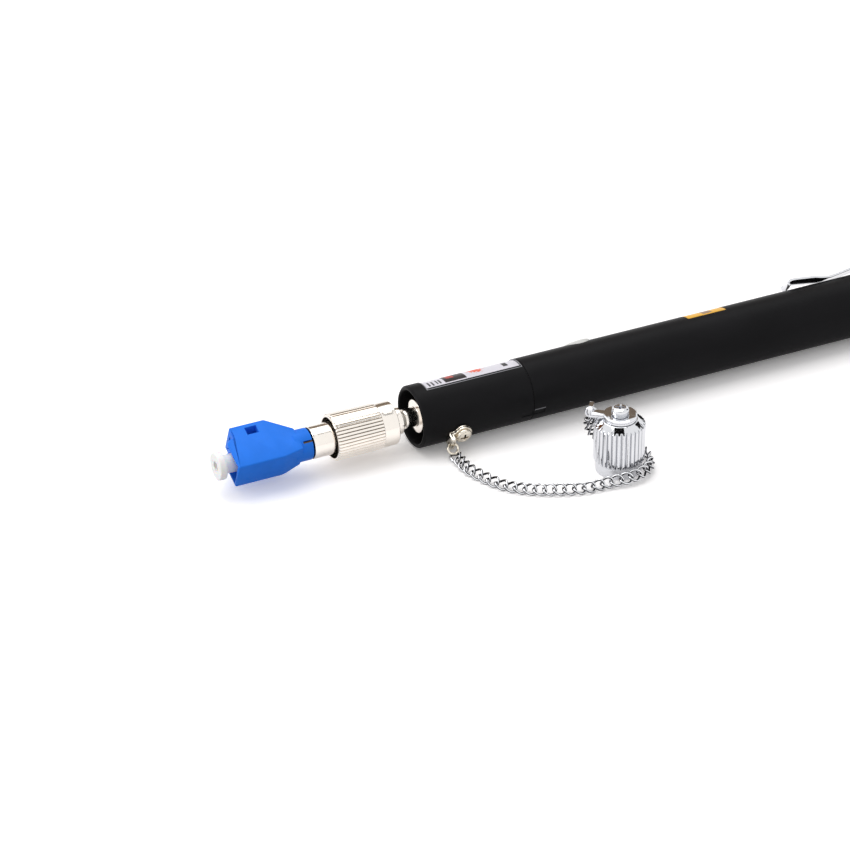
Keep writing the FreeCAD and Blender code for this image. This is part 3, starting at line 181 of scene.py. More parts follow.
class TetherSizes(bpy.types.PropertyGroup):
    """Sizes of the chain and the dust cap that the looks depend on"""
    wire: length("Chain wire", "Thickness of a link's wire", 0.48)
    width: length("Link width", "Width of a link", 2.66)
    reach: length("Link length", "Length of a link outside", 3.10)
    twist: bpy.props.FloatProperty(name="Link twist", description="Twist of a link from end to end",
                                   default=1.5708, subtype="ANGLE", unit="ROTATION")
    ring_radius: length("Ring radius", "Centre line of a jump ring", 1.1)
    ring_wire: length("Ring wire", "Radius of a jump ring's wire", 0.25)
    flutes: count("Flutes", "Flutes round the dust cap", 32, 8, 64)
    flute_radius: length("Flute radius", "Section of a flute", 0.34)
    strap_edge: length("Strap edge", "Rounding of the strap's cut edges", 0.06)


class Finishes(bpy.types.PropertyGroup):
    """Colours of the object"""
    black: colour("Black anodising", "Sleeve, barrel and tail cap", 0.0098, 0.0096, 0.0106)
    nickel: colour("Nickel", "Nut, tube and port", 0.95, 0.895, 0.83)
    chrome: colour("Chrome", "Dust cap with its strap, ring and screw, and clip", 0.76, 0.77, 0.80)
    chain: colour("Chain plate", "Chain", 0.86, 0.87, 0.90)
    gilt: colour("Champagne plate", "Lug screw, its strap and ring", 0.78, 0.72, 0.62)
    blue: colour("Blue moulding", "Square-port housing", 0.022, 0.205, 0.88)
    white: colour("White moulding", "Dust plug", 0.98, 0.98, 0.97)
    button: colour("Button", "Push button", 0.86, 0.86, 0.83)
    paper: colour("Label ground", "Sleeve label", 0.74, 0.72, 0.78)
    tag: colour("Tag ground", "Barrel label", 0.83, 0.44, 0.03)


class StageSettings(bpy.types.PropertyGroup):
    """Floor, lamps and camera"""
    sky: share("Sky", "Strength of the room's plain light", 0.66, 4.0)
    key: power("Overhead lamp", "Power of the lamp above", 4.0)
    rim: power("Side lamp", "Power of the lamp at the left", 3.0)
    floor: share("Floor", "How much of the light the floor gives back", 0.50)
    paper: share("Paper", "Brightness of the floor's own colour where it is seen", 1.17, 2.0)
    glow: share("Glow", "White that the seen floor has even in shadow", 0.10)
    mirrored: share("Mirrored floor", "How far shiny surfaces see the floor as the eye does", 0.75)
    lens: bpy.props.FloatProperty(name="Lens", description="Focal length of the camera in millimetres",
                                  default=165.66, min=20.0, subtype="DISTANCE_CAMERA")


# ---------------------------------------------------------------- outlines and surfaces from numpy arrays

def soften(points, radius, steps=3, closed=True):
    """Rounds the corners of a polyline.

    Each corner P between A and B gives way to the quadratic curve (1-t)^2 P' + 2 t (1-t) P + t^2 P'', where
    P' and P'' lie the radius, or at most 45% of the side, away from P towards A and B. Open ends are kept.
    """
    points = np.asarray(points, float)
    before, after = np.roll(points, 1, 0), np.roll(points, -1, 0)

    def toward(other):
        side = other - points
        span = np.linalg.norm(side, axis=1, keepdims=True)
        return points + side / span * np.minimum(radius, 0.45 * span)

    t = np.linspace(0, 1, steps + 1)[None, :, None]
    first, last = toward(before)[:, None], toward(after)[:, None]
    curve = (1 - t) ** 2 * first + 2 * t * (1 - t) * points[:, None] + t ** 2 * last
    if closed:
        return curve.reshape(-1, points.shape[1])
    inner = curve[1:-1].reshape(-1, points.shape[1])
    return np.vstack([points[:1], inner, points[-1:]])


def divided(points, spacing, closed=True):
    """Adds points on each side of a polyline so that none is longer than the spacing: P + (Q - P) k / n"""
    points = np.asarray(points, float)
    ends = np.roll(points, -1, 0) if closed else points[1:]
    starts = points if closed else points[:-1]
    counts = np.maximum(1, np.ceil(np.linalg.norm(ends - starts, axis=1) / spacing)).astype(int)
    index = np.repeat(np.arange(len(counts)), counts)
    k = np.arange(counts.sum()) - np.repeat(np.cumsum(counts) - counts, counts)
    filled = starts[index] + (ends - starts)[index] * (k / counts[index])[:, None]
    return filled if closed else np.vstack([filled, points[-1:]])


def ring_round(corners, spacing, edge):
    """A closed outline with softened corners and evenly divided sides"""
    return divided(soften(corners, edge), spacing)


def with_stations(profile, stations, radius):
    """Adds points to a turned profile: each (station, radius) goes into the side that lies nearest to it"""
    for station in stations:
        point = np.array([station, radius])
        span = np.roll(profile, -1, 0) - profile
        along = np.sum((point - profile) * span, 1) / np.maximum(np.sum(span * span, 1), 1e-12)
        off = np.linalg.norm(profile + np.clip(along, 0, 1)[:, None] * span - point, axis=1)
        profile = np.insert(profile, int(np.argmin(off)) + 1, point, axis=0)
    return profile


def either_side(*stations):
    """A station close before and close after each given one, so that a step there stays crisp"""
    return [station + off for station in stations for off in (-0.04, 0.04)]


def circle(radius, points):
    """A circle of points: radius (cos a, sin a)"""
    a = np.linspace(0, TURN, points, endpoint=False)
    return radius * np.stack([np.cos(a), np.sin(a)], -1)


def full_turn(steps, *edges):
    """Evenly spaced angles, with a close pair at each edge so that a step there stays crisp"""
    extra = [edge + off for edge in edges for off in (-0.004, 0.004)]
    return np.unique(np.mod(np.concatenate([np.linspace(0, TURN, steps, endpoint=False), extra]), TURN))


def repeated_turn(repeats, shares):
    """The same uneven steps, given as shares of a repeat, in every repeat of a full turn"""
    return ((np.arange(repeats)[:, None] + np.array(shares)[None, :]) * TURN / repeats).ravel()


def from_nearest(a, repeats):
    """How far an angle is from the nearest of so many even marks, as a share of their pitch"""
    return np.abs(np.mod(a * repeats / TURN + 0.5, 1.0) - 0.5)


def signed(a):
    """An angle brought between minus and plus half a turn"""
    return np.mod(a + np.pi, TURN) - np.pi


def grid_quads(rows, columns, close_rows, close_columns):
    """Quads of a rows x columns grid of points; a closed direction joins its last line to its first"""
    i = np.arange(rows if close_rows else rows - 1)[:, None]
    j = np.arange(columns if close_columns else columns - 1)[None, :]
    i2, j2 = (i + 1) % rows, (j + 1) % columns
    corners = [i * columns + j, i2 * columns + j, i2 * columns + j2, i * columns + j2]
    return np.stack([np.broadcast_to(c, (i.size, j.size)) for c in corners], -1).reshape(-1, 4)


def with_ends(quads, columns, points):
    """The quads of a grid whose rows are closed, and a face over its first and over its last row"""
    first = list(range(columns))
    last = list(range(points - columns, points))
    return quads.tolist() + [first[::-1], last]


def turned(profile, angles, change=None, closed=True, upright=False):
    """A profile of (station, radius) carried round an axis.

    The point at station s and angle a is (s, r sin a, r cos a), or (r cos a, r sin a, s) when upright, with r
    the profile's radius plus change(s, r, a).
    """
    s = np.asarray(profile, float)[:, 0][:, None]
    r = np.asarray(profile, float)[:, 1][:, None]
    a = np.asarray(angles, float)[None, :]
    radius = r + (change(s, r, a) if change else 0) + 0 * a
    station = s + 0 * a
    if upright:
        parts = (radius * np.cos(a), radius * np.sin(a), station)
    else:
        parts = (station, radius * np.sin(a), radius * np.cos(a))
    return np.stack(parts, -1).reshape(-1, 3), grid_quads(len(profile), a.size, closed, True)


def thread(pitch, depth, radius_at, start, end):
    """Radius change of a thread: a triangle wave along the axis that advances one pitch in a turn"""
    def change(x, radius, a):
        wave = np.abs(np.mod(x / pitch - a / TURN, 1.0) - 0.5) * 2
        on = (np.abs(radius - radius_at) < 0.01) & (x > start) & (x < end)
        return np.where(on, -depth * wave, 0.0)
    return change


def swept(path, across, up, section, closed):
    """A section carried along a path: the point is path + across * section_x + up * section_y"""
    points = path[:, None] + across[:, None] * section[None, :, :1] + up[:, None] * section[None, :, 1:]
    return points.reshape(-1, 3), grid_quads(len(path), len(section), closed, True)


def inset(outline, distance):
    """Moves every point of a closed outline inwards, along the mean of its two sides' normals"""
    side = np.roll(outline, -1, 0) - outline
    side /= np.linalg.norm(side, axis=1, keepdims=True)
    following = np.roll(outline, -1, 0)
    area = np.sum(outline[:, 0] * following[:, 1] - following[:, 0] * outline[:, 1])
    normal = np.sign(area) * np.stack([-side[:, 1], side[:, 0]], -1)
    mean = normal + np.roll(normal, 1, 0)
    mean /= np.maximum(np.sum(mean * mean, axis=1, keepdims=True), 0.5) / 2
    return outline + mean * distance


def slab(outline, half, edge, steps=3):
    """A plate of an outline in its own XZ plane, with rounded rims.

    Layer k is the outline inset by edge (1 - sin t) at the height half - edge (1 - cos t), for t from 0 to a
    quarter turn on one side, and the same mirrored on the other.
    """
    t = np.linspace(0, np.pi / 2, steps + 1)
    insets = edge * (1 - np.sin(t))
    heights = half - edge * (1 - np.cos(t))
    levels = list(zip(insets, heights)) + list(zip(insets[::-1], -heights[::-1]))
    layers = [(inset(outline, by), height) for by, height in levels]
    points = np.concatenate([np.stack([o[:, 0], np.full(len(o), h), o[:, 1]], -1) for o, h in layers])
    return points, with_ends(grid_quads(len(layers), len(outline), False, True), len(outline), len(points))


def box_mesh(low, high):
    """A box between two corners"""
    outline = np.array([(low[0], low[2]), (high[0], low[2]), (high[0], high[2]), (low[0], high[2])], float)
    middle, half = 0.5 * (low[1] + high[1]), 0.5 * (high[1] - low[1])
    points, faces = slab(outline, half, 0.0, 1)
    return points + np.array([0, middle, 0]), faces


def smooth_path(points, samples):
    """A Catmull-Rom curve through the points: each span is the cubic of its four neighbours"""
    points = np.asarray(points, float)
    padded = np.vstack([2 * points[0] - points[1], points, 2 * points[-1] - points[-2]])
    at = np.linspace(0, len(points) - 1, samples)
    i = np.minimum(at.astype(int), len(points) - 2)
    t = (at - i)[:, None]
    a, b, c, d = padded[i], padded[i + 1], padded[i + 2], padded[i + 3]
    return 0.5 * (2 * b + (c - a) * t + (2 * a - 5 * b + 4 * c - d) * t ** 2
                  + (3 * b - a - 3 * c + d) * t ** 3)


# ---------------------------------------------------------------- meshes

def node_points(node):
    """The points of an engineering node, in metres"""
    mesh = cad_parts[node].data
    points = np.empty(len(mesh.vertices) * 3)
    mesh.vertices.foreach_get("co", points)
    return points.reshape(-1, 3)


def placed(points, matrix):
    """Local millimetres to metres in the row's frame"""
    return (points @ matrix[:3, :3].T + matrix[:3, 3]) * MM


def new_mesh(name, points, faces):
    """A mesh object whose doubled points are merged and whose faces point outwards"""
    mesh = bpy.data.meshes.new(name)
    mesh.from_pydata(points.tolist(), [], faces if isinstance(faces, list) else faces.tolist())
    work = bmesh.new()
    work.from_mesh(mesh)
    bmesh.ops.remove_doubles(work, verts=work.verts, dist=2e-8)
    bmesh.ops.dissolve_degenerate(work, edges=work.edges, dist=1e-9)
    bmesh.ops.recalc_face_normals(work, faces=work.faces)
    work.to_mesh(mesh)
    work.free()
    mesh.update()
    thing = bpy.data.objects.new(name, mesh)
    bpy.context.scene.collection.objects.link(thing)
    return thing


def local_mesh(name, shape, matrix):
    """A mesh object from points and faces in a local frame"""
    points, faces = shape
    return new_mesh(name, placed(points, matrix), faces)


def lathe(name, profile, angles, matrix, **how):
    """A mesh object turned about the axis of a local frame"""
    return local_mesh(name, turned(profile, angles, **how), matrix)


def settle(thing):
    """Applies the modifiers of a piece"""
    bpy.context.view_layer.update()
    live = thing.evaluated_get(bpy.context.evaluated_depsgraph_get())
    result = bpy.data.meshes.new_from_object(live)
    thing.modifiers.clear()
    old = thing.data
    thing.data = result
    bpy.data.meshes.remove(old)


def carve(thing, cutters, operation="DIFFERENCE"):
    """Cuts meshes out of a piece, or joins them to it, and keeps the result as its mesh"""
    for cutter in cutters:
        step = thing.modifiers.new("cut", "BOOLEAN")
        step.operation = operation
        step.solver = "EXACT"
        step.object = cutter
    settle(thing)
    for cutter in cutters:
        bpy.data.objects.remove(cutter)


def bevel(thing, width, degrees):
    """Rounds the edges of a piece that are sharper than an angle"""
    step = thing.modifiers.new("edges", "BEVEL")
    step.width = width
    step.segments = 2
    step.limit_method = "ANGLE"
    step.angle_limit = np.radians(degrees)
    step.use_clamp_overlap = True
    settle(thing)


def finished(thing, body, node, material, sharp=40):
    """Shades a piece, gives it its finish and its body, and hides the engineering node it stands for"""
    mesh = thing.data
    mesh.materials.clear()
    mesh.materials.append(FINISH[material])
    mesh.polygons.foreach_set("use_smooth", np.ones(len(mesh.polygons), bool))
    mesh.set_sharp_from_angle(angle=np.radians(sharp))
    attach(thing, body)
    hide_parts(node)


def local_points(thing, matrix):
    """A piece's points in a local frame, in millimetres, as three rows"""
    points = np.empty(len(thing.data.vertices) * 3)
    thing.data.vertices.foreach_get("co", points)
    return ((points.reshape(-1, 3) / MM - matrix[:3, 3]) @ matrix[:3, :3]).T


def mark(thing, name, values):
    """Keeps one value for each point of a piece under a name that its finish reads"""
    layer = thing.data.attributes.new(name, "FLOAT", "POINT")
    layer.data.foreach_set("value", np.asarray(values, np.float32))


def components(node):
    """Splits an engineering node's mesh into its separate solids.

    Points that coincide get one number. Each point then takes the lowest number among its triangle's corners
    until nothing changes. Returns one array of points, in millimetres, for each solid.
    """
    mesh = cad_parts[node].data
    points = node_points(node) / MM
    unique, number = np.unique(np.round(points, 4), axis=0, return_inverse=True)
    number = number.ravel()
    mesh.calc_loop_triangles()
    corners = np.empty(len(mesh.loop_triangles) * 3, int)
    mesh.loop_triangles.foreach_get("vertices", corners)
    triangles = number[corners].reshape(-1, 3)
    label = np.arange(len(unique))
    while True:
        lowest = label[triangles].min(axis=1)
        after = label.copy()
        np.minimum.at(after, triangles.ravel(), np.repeat(lowest, 3))
        after = after[after]
        if np.array_equal(after, label):
            break
        label = after
    return [unique[label == value] for value in np.unique(label)]


def principal_frame(points):
    """Frame at the mean of a cloud of points, with its principal axes, longest first"""
    centred = points - points.mean(axis=0)
    vectors = np.linalg.eigh(centred.T @ centred)[1]
    axes = vectors[:, ::-1]
    axes[:, 2] = np.cross(axes[:, 0], axes[:, 1])
    return place(points.mean(axis=0), axes)


# ---------------------------------------------------------------- finishes

class Nodes:
    """Short hand for building the node tree of a material or a world"""

    def __init__(self, holder):
        self.holder = holder
        holder.use_nodes = True
        self.tree = holder.node_tree
        self.shader = self.tree.nodes.get("Principled BSDF")

    def add(self, kind, inputs=(), **settings):
        """A node with its settings; inputs are (socket, value or output socket)"""
        node = self.tree.nodes.new(kind)
        for key, value in settings.items():
            setattr(node, key, value)
        for socket, value in inputs:
            self.feed(node.inputs[socket], value)
        return node

    def feed(self, socket, value):
        """Links an output to a socket, or sets the socket's own value"""
        if isinstance(value, bpy.types.NodeSocket):
            self.tree.links.new(value, socket)
        else:
            socket.default_value = value

    def math(self, operation, first, second=0.0):
        """A Math node's result"""
        return self.add("ShaderNodeMath", ((0, first), (1, second)), operation=operation).outputs[0]

    def between(self, value, low, high):
        """1 where a value lies between two others, else 0"""
        above, below = self.math("GREATER_THAN", value, low), self.math("LESS_THAN", value, high)
        return self.math("MULTIPLY", above, below)

    def position(self, scale=(1, 1, 1)):
        """Object coordinates, stretched"""
        source = self.add("ShaderNodeTexCoord").outputs["Object"]
        return self.add("ShaderNodeMapping", (("Vector", source), ("Scale", scale))).outputs[0]

    def noise(self, vector, scale, detail=4.0):
        """A noise pattern's value"""
        return self.add("ShaderNodeTexNoise", (("Vector", vector), ("Scale", scale), ("Detail", detail),
                                               ("Roughness", 0.55))).outputs["Fac"]

    def attribute(self, name):
        """The value that a piece's points hold under a name"""
        return self.add("ShaderNodeAttribute", attribute_name=name).outputs["Fac"]

    def spread(self, value, low, high, from_low=0.3, from_high=0.7):
        """Maps a value from one range to another, clamped"""
        ranges = (("Value", value), ("From Min", from_low), ("From Max", from_high), ("To Min", low),
                  ("To Max", high))
        return self.add("ShaderNodeMapRange", ranges).outputs[0]

    def blend(self, factor, first, second):
        """Mixes two colours"""
        inputs = (("Factor", factor), (6, first), (7, second))
        return self.add("ShaderNodeMix", inputs, data_type="RGBA").outputs[2]

    def bump(self, height, strength, distance):
        """Feeds a height into the shader's normal"""
        inputs = (("Height", height), ("Strength", strength), ("Distance", distance))
        self.feed(self.shader.inputs["Normal"], self.add("ShaderNodeBump", inputs).outputs[0])

    def coat(self, colour_value, roughness):
        """Feeds the shader's colour and roughness"""
        self.feed(self.shader.inputs["Base Color"], colour_value)
        self.feed(self.shader.inputs["Roughness"], roughness)


def new_finish(name, **values):
    """A material's node tree with plain values on the shader's own sockets"""
    made = Nodes(bpy.data.materials.new(name))
    for key, value in values.items():
        made.shader.inputs[key.replace("_", " ")].default_value = value
    return made


def opaque(rgb, factor=1.0):
    """A colour with an alpha, lighter or darker by a factor"""
    return tuple(min(1.0, c * factor) for c in rgb) + (1.0,)


def finish(name, rgb, metallic, rough, spread=0.05, tint=0.06, blotch=300.0, grain=6000.0, relief=0.06,
           depth=0.00003, stretch=(1, 1, 1), worn=None, **sockets):
    """A finish with soft blotches in its colour and fine grain in its roughness and relief.

    blotch and grain are patterns per metre, and stretch draws the grain out along an axis, as turning marks
    are. A second colour, if given, is painted shade: it is laid where the piece's own point values for it are
    high, as in the bottom of grooves.
    """
    made = new_finish(name, Metallic=metallic, **sockets)
    plain = made.position()
    drawn = made.position(stretch)
    cloud = made.noise(plain, blotch, 3.0)
    fine = made.noise(drawn, grain, 5.0)
    base = made.blend(made.spread(cloud, 0.0, 1.0), opaque(rgb, 1 - tint), opaque(rgb, 1 + tint))
    # Painted shade, laid where the piece's own point values mark its grooves, recesses and hollows
    if worn:
        base = made.blend(made.attribute("painted_shade"), base, opaque(worn))
    made.coat(base, made.spread(fine, rough - spread, rough + spread))
    made.bump(fine, relief, depth)
    return made.holder


def anodised(name, rgb):
    """Satin black anodising: fine blasted grain, faint turning marks, dust specks and painted edge
    highlights.

    The painted edge highlights lie where the piece's own point values for them are high; a piece without them
    has none.
    """
    made = new_finish(name, Metallic=0.0, Specular_IOR_Level=0.06)
    grain = made.noise(made.position(), 14000.0, 3.0)
    marks = made.noise(made.position((60, 1, 1)), 90.0, 4.0)
    cloud = made.noise(made.position((0.5, 1, 1)), 120.0, 3.0)
    base = made.blend(made.spread(cloud, 0.0, 1.0), opaque(rgb, 0.85), opaque(rgb, 1.2))
    speck = made.spread(made.noise(made.position(), 2600.0, 1.0), 0.0, 1.0, 0.80, 0.84)
    dusty = made.blend(made.math("MULTIPLY", speck, 0.25), base, opaque((0.12, 0.12, 0.13)))
    # Painted highlight: a light grey laid on thin lines along edges that catch the light
    painted_highlight = made.blend(made.attribute("painted_highlight"), dusty, opaque((0.30, 0.30, 0.32)))
    made.coat(painted_highlight, made.math("ADD", made.spread(marks, 0.36, 0.44), made.spread(grain, -0.03, 0.03)))
    made.bump(grain, 0.12, 0.00002)
    return made.holder


# Plain fields of the printed films: low and high share along the pen, low and high share round it, colour
SLEEVE_PRINT = (
    (0.035, 0.055, 0.045, 0.20, (0.06, 0.06, 0.07)),
    (0.075, 0.095, 0.045, 0.20, (0.08, 0.08, 0.09)),
    (0.125, 0.140, 0.06, 0.22, (0.06, 0.06, 0.07)),
    (0.155, 0.175, 0.06, 0.22, (0.08, 0.08, 0.09)),
    (0.21, 0.44, 0.045, 0.95, (0.016, 0.012, 0.014)),
    (0.25, 0.33, 0.17, 0.60, (0.42, 0.035, 0.02)),
    (0.85, 0.90, 0.10, 0.26, (0.03, 0.03, 0.035)),
)
BARREL_PRINT = (
    (0.42, 0.66, 0.06, 0.60, (0.30, 0.17, 0.09)),
)
# Ragged spot: middle along and round the pen, radius, share round for a share along, colour
SLEEVE_SPOT = (0.575, 0.23, 0.07, 1.2, (0.80, 0.10, 0.035))


def printed(name, ground, fields, spot=None):
    """A printed film: blocks of plain colour on a ground, and a ragged spot, read from the piece's own map"""
    made = new_finish(name, Metallic=0.0, Specular_IOR_Level=0.45)
    at = made.add("ShaderNodeSeparateXYZ", ((0, made.add("ShaderNodeUVMap", uv_map="Printed").outputs[0]),))
    u, v = at.outputs[0], at.outputs[1]
    mottle = made.noise(made.position(), 2500.0, 3.0)
    result = made.blend(made.spread(mottle, 0.0, 1.0), opaque(ground, 0.95), opaque(ground, 1.05))
    for low_u, high_u, low_v, high_v, rgb in fields:
        inside = made.math("MULTIPLY", made.between(u, low_u, high_u), made.between(v, low_v, high_v))
        result = made.blend(inside, result, opaque(rgb))
    if spot:
        middle_u, middle_v, radius, stretch, rgb = spot
        across = made.math("SUBTRACT", u, middle_u)
        upward = made.math("DIVIDE", made.math("SUBTRACT", v, middle_v), stretch)
        squares = made.math("ADD", made.math("MULTIPLY", across, across),
                            made.math("MULTIPLY", upward, upward))
        ragged = made.math("ADD", made.math("SQRT", squares),
                           made.spread(made.noise(made.position(), 1700.0, 1.0), -0.035, 0.035))
        inside = made.spread(ragged, 1.0, 0.0, radius - 0.012, radius + 0.012)
        result = made.blend(inside, result, opaque(rgb))
    made.coat(result, made.spread(mottle, 0.30, 0.43))
    made.bump(mottle, 0.03, 0.00002)
    return made.holder


def board_finish(name):
    """Circuit board: green lacquer with lighter tracks and small pads"""
    made = new_finish(name, Metallic=0.0)
    where = made.position((900, 900, 900))
    greens = (("Color1", (0.01, 0.10, 0.04, 1)), ("Color2", (0.012, 0.13, 0.05, 1)),
              ("Mortar", (0.03, 0.24, 0.08, 1)))
    lines = (("Vector", where), ("Scale", 1.0), ("Mortar Size", 0.06))
    tracks = made.add("ShaderNodeTexBrick", lines + greens)
    cells = made.add("ShaderNodeTexVoronoi", (("Vector", where), ("Scale", 0.7))).outputs["Distance"]
    pads = made.spread(cells, 1.0, 0.0, 0.12, 0.16)
    made.coat(made.blend(pads, tracks.outputs["Color"], (0.75, 0.62, 0.3, 1)),
              made.spread(made.noise(where, 3.0), 0.25, 0.4))
    made.bump(pads, 0.2, 0.00003)
    return made.holder


def glass_finish(name):
    """Clear lens glass with faint dust"""
    made = new_finish(name, Metallic=0.0, IOR=1.5, Transmission_Weight=0.95)
    dust = made.noise(made.position(), 3000.0, 4.0)
    tone = made.blend(dust, (0.93, 0.97, 0.98, 1), (0.98, 0.99, 1.0, 1))
    made.coat(tone, made.spread(dust, 0.0, 0.08, 0.5, 0.8))
    return made.holder


def plain_finishes(c):
    """Settings of the metals and the mouldings, from the scene's colours"""
    return {
        # In the metals, the dark colour given last is painted shade for the grooves, recesses and hollows
        # each piece marks
        "nickel plate": dict(rgb=c.nickel, metallic=1.0, rough=0.14, tint=0.03, blotch=260.0, grain=5000.0,
                             relief=0.04, depth=0.00002, stretch=(1, 14, 14), worn=(0.10, 0.08, 0.06)),
        "bright chrome": dict(rgb=c.chrome, metallic=1.0, rough=0.07, spread=0.03, tint=0.03, grain=4000.0,
                              relief=0.03, depth=0.00002, worn=(0.14, 0.15, 0.18)),
        "champagne plate": dict(rgb=c.gilt, metallic=1.0, rough=0.11, spread=0.04, tint=0.05, blotch=500.0,
                                grain=5000.0, relief=0.04, depth=0.00002, worn=(0.07, 0.035, 0.018)),
        "chain plate": dict(rgb=c.chain, metallic=1.0, rough=0.14, blotch=700.0, grain=5000.0, relief=0.05,
                            depth=0.00002, worn=(0.03, 0.03, 0.034)),
        "blue moulding": dict(rgb=c.blue, metallic=0.0, rough=0.40, spread=0.06, tint=0.05, blotch=220.0,
                              grain=6500.0, relief=0.10, depth=0.00004, Specular_IOR_Level=0.10),
        "white moulding": dict(rgb=c.white, metallic=0.0, rough=0.38, tint=0.02, blotch=220.0, grain=5000.0,
                               Subsurface_Weight=0.35, Subsurface_Scale=0.0015),
        "button plastic": dict(rgb=c.button, metallic=0.0, rough=0.33, tint=0.04),
        "key moulding": dict(rgb=(0.006, 0.006, 0.007), metallic=0.0, rough=0.45, tint=0.1,
                             Specular_IOR_Level=0.08),
        "zirconia": dict(rgb=(0.85, 0.83, 0.78), metallic=0.0, rough=0.18, spread=0.03, tint=0.02,
                         relief=0.02),
        "spring steel": dict(rgb=(0.46, 0.46, 0.47), metallic=1.0, rough=0.28, spread=0.06, relief=0.08),
        "cell jacket": dict(rgb=(0.60, 0.42, 0.10), metallic=0.6, rough=0.28, tint=0.08, blotch=120.0,
                            grain=3000.0, relief=0.04),
        "gilt can": dict(rgb=(0.83, 0.62, 0.28), metallic=1.0, rough=0.22, relief=0.05),
        "seal rubber": dict(rgb=(0.02, 0.02, 0.02), metallic=0.0, rough=0.75, spread=0.08, tint=0.15,
                            blotch=400.0, grain=5000.0, relief=0.12),
    }


FINISH = {}


def make_finishes(c):
    """Makes every finish once and keeps it by name"""
    for name, settings in plain_finishes(c).items():
        FINISH[name] = finish(name, **settings)
    FINISH["anodised black"] = anodised("anodised black", c.black)
    FINISH["board lacquer"] = board_finish("board lacquer")
    FINISH["lens glass"] = glass_finish("lens glass")
    FINISH["sleeve print"] = printed("sleeve print", c.paper, SLEEVE_PRINT, SLEEVE_SPOT)
    FINISH["barrel print"] = printed("barrel print", c.tag, BARREL_PRINT)


# ---------------------------------------------------------------- pen

class Piece(bpy.types.Operator):
    """Base of the operators that make the object's pieces"""
    bl_options = {"REGISTER", "UNDO"}

    def execute(self, context):
        self.build(context.scene)
        return {"FINISHED"}


def skin_cuts(skin, start, end, half_angle, depth):
    """Radius change of the pen's skin: a label recess between two stations, and the slot of the index key"""
    def change(x, radius, a):
        a = signed(a)
        outer = radius > skin - 0.01
        label = outer & (x > start) & (x < end) & (np.abs(a) < half_angle)
        key = outer & (x > KEY_START) & (x < KEY_END) & (np.abs(a - KEY_ANGLE) < KEY_HALF_ANGLE)
        return np.where(label, -depth, 0.0) + np.where(key, -KEY_DEPTH, 0.0)
    return change


def skin_angles(*edges):
    """Angles round the pen's skin, crisp at the key slot and at the edges given"""
    return full_turn(160, KEY_ANGLE - KEY_HALF_ANGLE, KEY_ANGLE + KEY_HALF_ANGLE, *edges)


def printed_film(name, start, end, low, half_angle):
    """A film in a recess: the section (x, r) of a thin rounded plate carried over an arc round the pen.

    Its map has u running along the axis and v round it.
    """
    start, end, high = start + FILM_MARGIN, end - FILM_MARGIN, low + FILM_THICKNESS
    corners = [(start, low), (end, low), (end, high), (start, high)]
    section = divided(soften(corners, 0.04, 2), 1.5)
    a = np.linspace(-half_angle, half_angle, 48)
    stations = np.broadcast_to(section[None, :, 0], (len(a), len(section)))
    sides = section[None, :, 1] * np.sin(a)[:, None]
    heights = section[None, :, 1] * np.cos(a)[:, None]
    points = np.stack([stations, sides, heights], -1).reshape(-1, 3)
    faces = with_ends(grid_quads(len(a), len(section), False, True), len(section), len(points))
    film = local_mesh(name, (points, faces), PEN)
    x, y, z = local_points(film, PEN)
    map_points = np.stack([(x - start) / (end - start), (np.arctan2(y, z) / half_angle + 1) / 2], -1)
    corner = np.empty(len(film.data.loops), int)
    film.data.loops.foreach_get("vertex_index", corner)
    layer = film.data.uv_layers.new(name="Printed")
    layer.data.foreach_set("uv", map_points[corner].astype(np.float32).ravel())
    return film


class LOCATOR_OT_sleeve(Piece):
    """Front sleeve with its label recess, key slot and printed film"""
    bl_idname = "locator.sleeve"
    bl_label = "Front sleeve"

    def build(self, scene):
        s = scene.pen
        r, depth = s.radius / MM, s.label_depth / MM
        spigot = BARREL_BORE - SEAT_GAP
        profile = ring_round([(FRONT_CHAMFER, r), (SEAM - 0.12, r), (SEAM, r - SEAM_STEP), (SEAM, spigot),
                              (SPIGOT_END, spigot), (SPIGOT_END, SPIGOT_BORE), (PORT_BACK, SPIGOT_BORE),
                              (PORT_BACK, SLEEVE_BORE), (MOUTH_CHAMFER, SLEEVE_BORE),
                              (0.0, SLEEVE_BORE + MOUTH_CHAMFER), (0.0, r - FRONT_CHAMFER)], 1.2, s.edge / MM)
        profile = with_stations(profile, either_side(LABEL_START, LABEL_END, KEY_START), r)
        profile = with_stations(profile, (3.0, 3.12, 24.5), r)
        lip = LABEL_HALF_ANGLE + 0.075
        angles = skin_angles(-LABEL_HALF_ANGLE, LABEL_HALF_ANGLE, -lip, lip)
        cuts = skin_cuts(r, LABEL_START, LABEL_END, LABEL_HALF_ANGLE, depth)
        shell = lathe("sleeve_shell", profile, angles, PEN, change=cuts)
        # Painted highlight: a thin light line along the lip and both ends of the label recess
        x, y, z = local_points(shell, PEN)
        a, skin = np.abs(np.arctan2(y, z)), np.hypot(y, z) > r - 0.05
        side = (np.abs(a - lip) < 0.006) & (x > 3.1) & (x < 24.52)
        end = (a < lip + 0.006) & ((np.abs(x - 3.19) < 0.08) | (np.abs(x - 24.47) < 0.04))
        mark(shell, "painted_highlight", np.where(skin & (side | end), 1.0, 0.0))
        finished(shell, "pen", "front_sleeve", "anodised black")
        film = printed_film("sleeve_print_film", LABEL_START, LABEL_END, r - depth, LABEL_HALF_ANGLE)
        finished(film, "pen", "sleeve_label", "sleeve print")


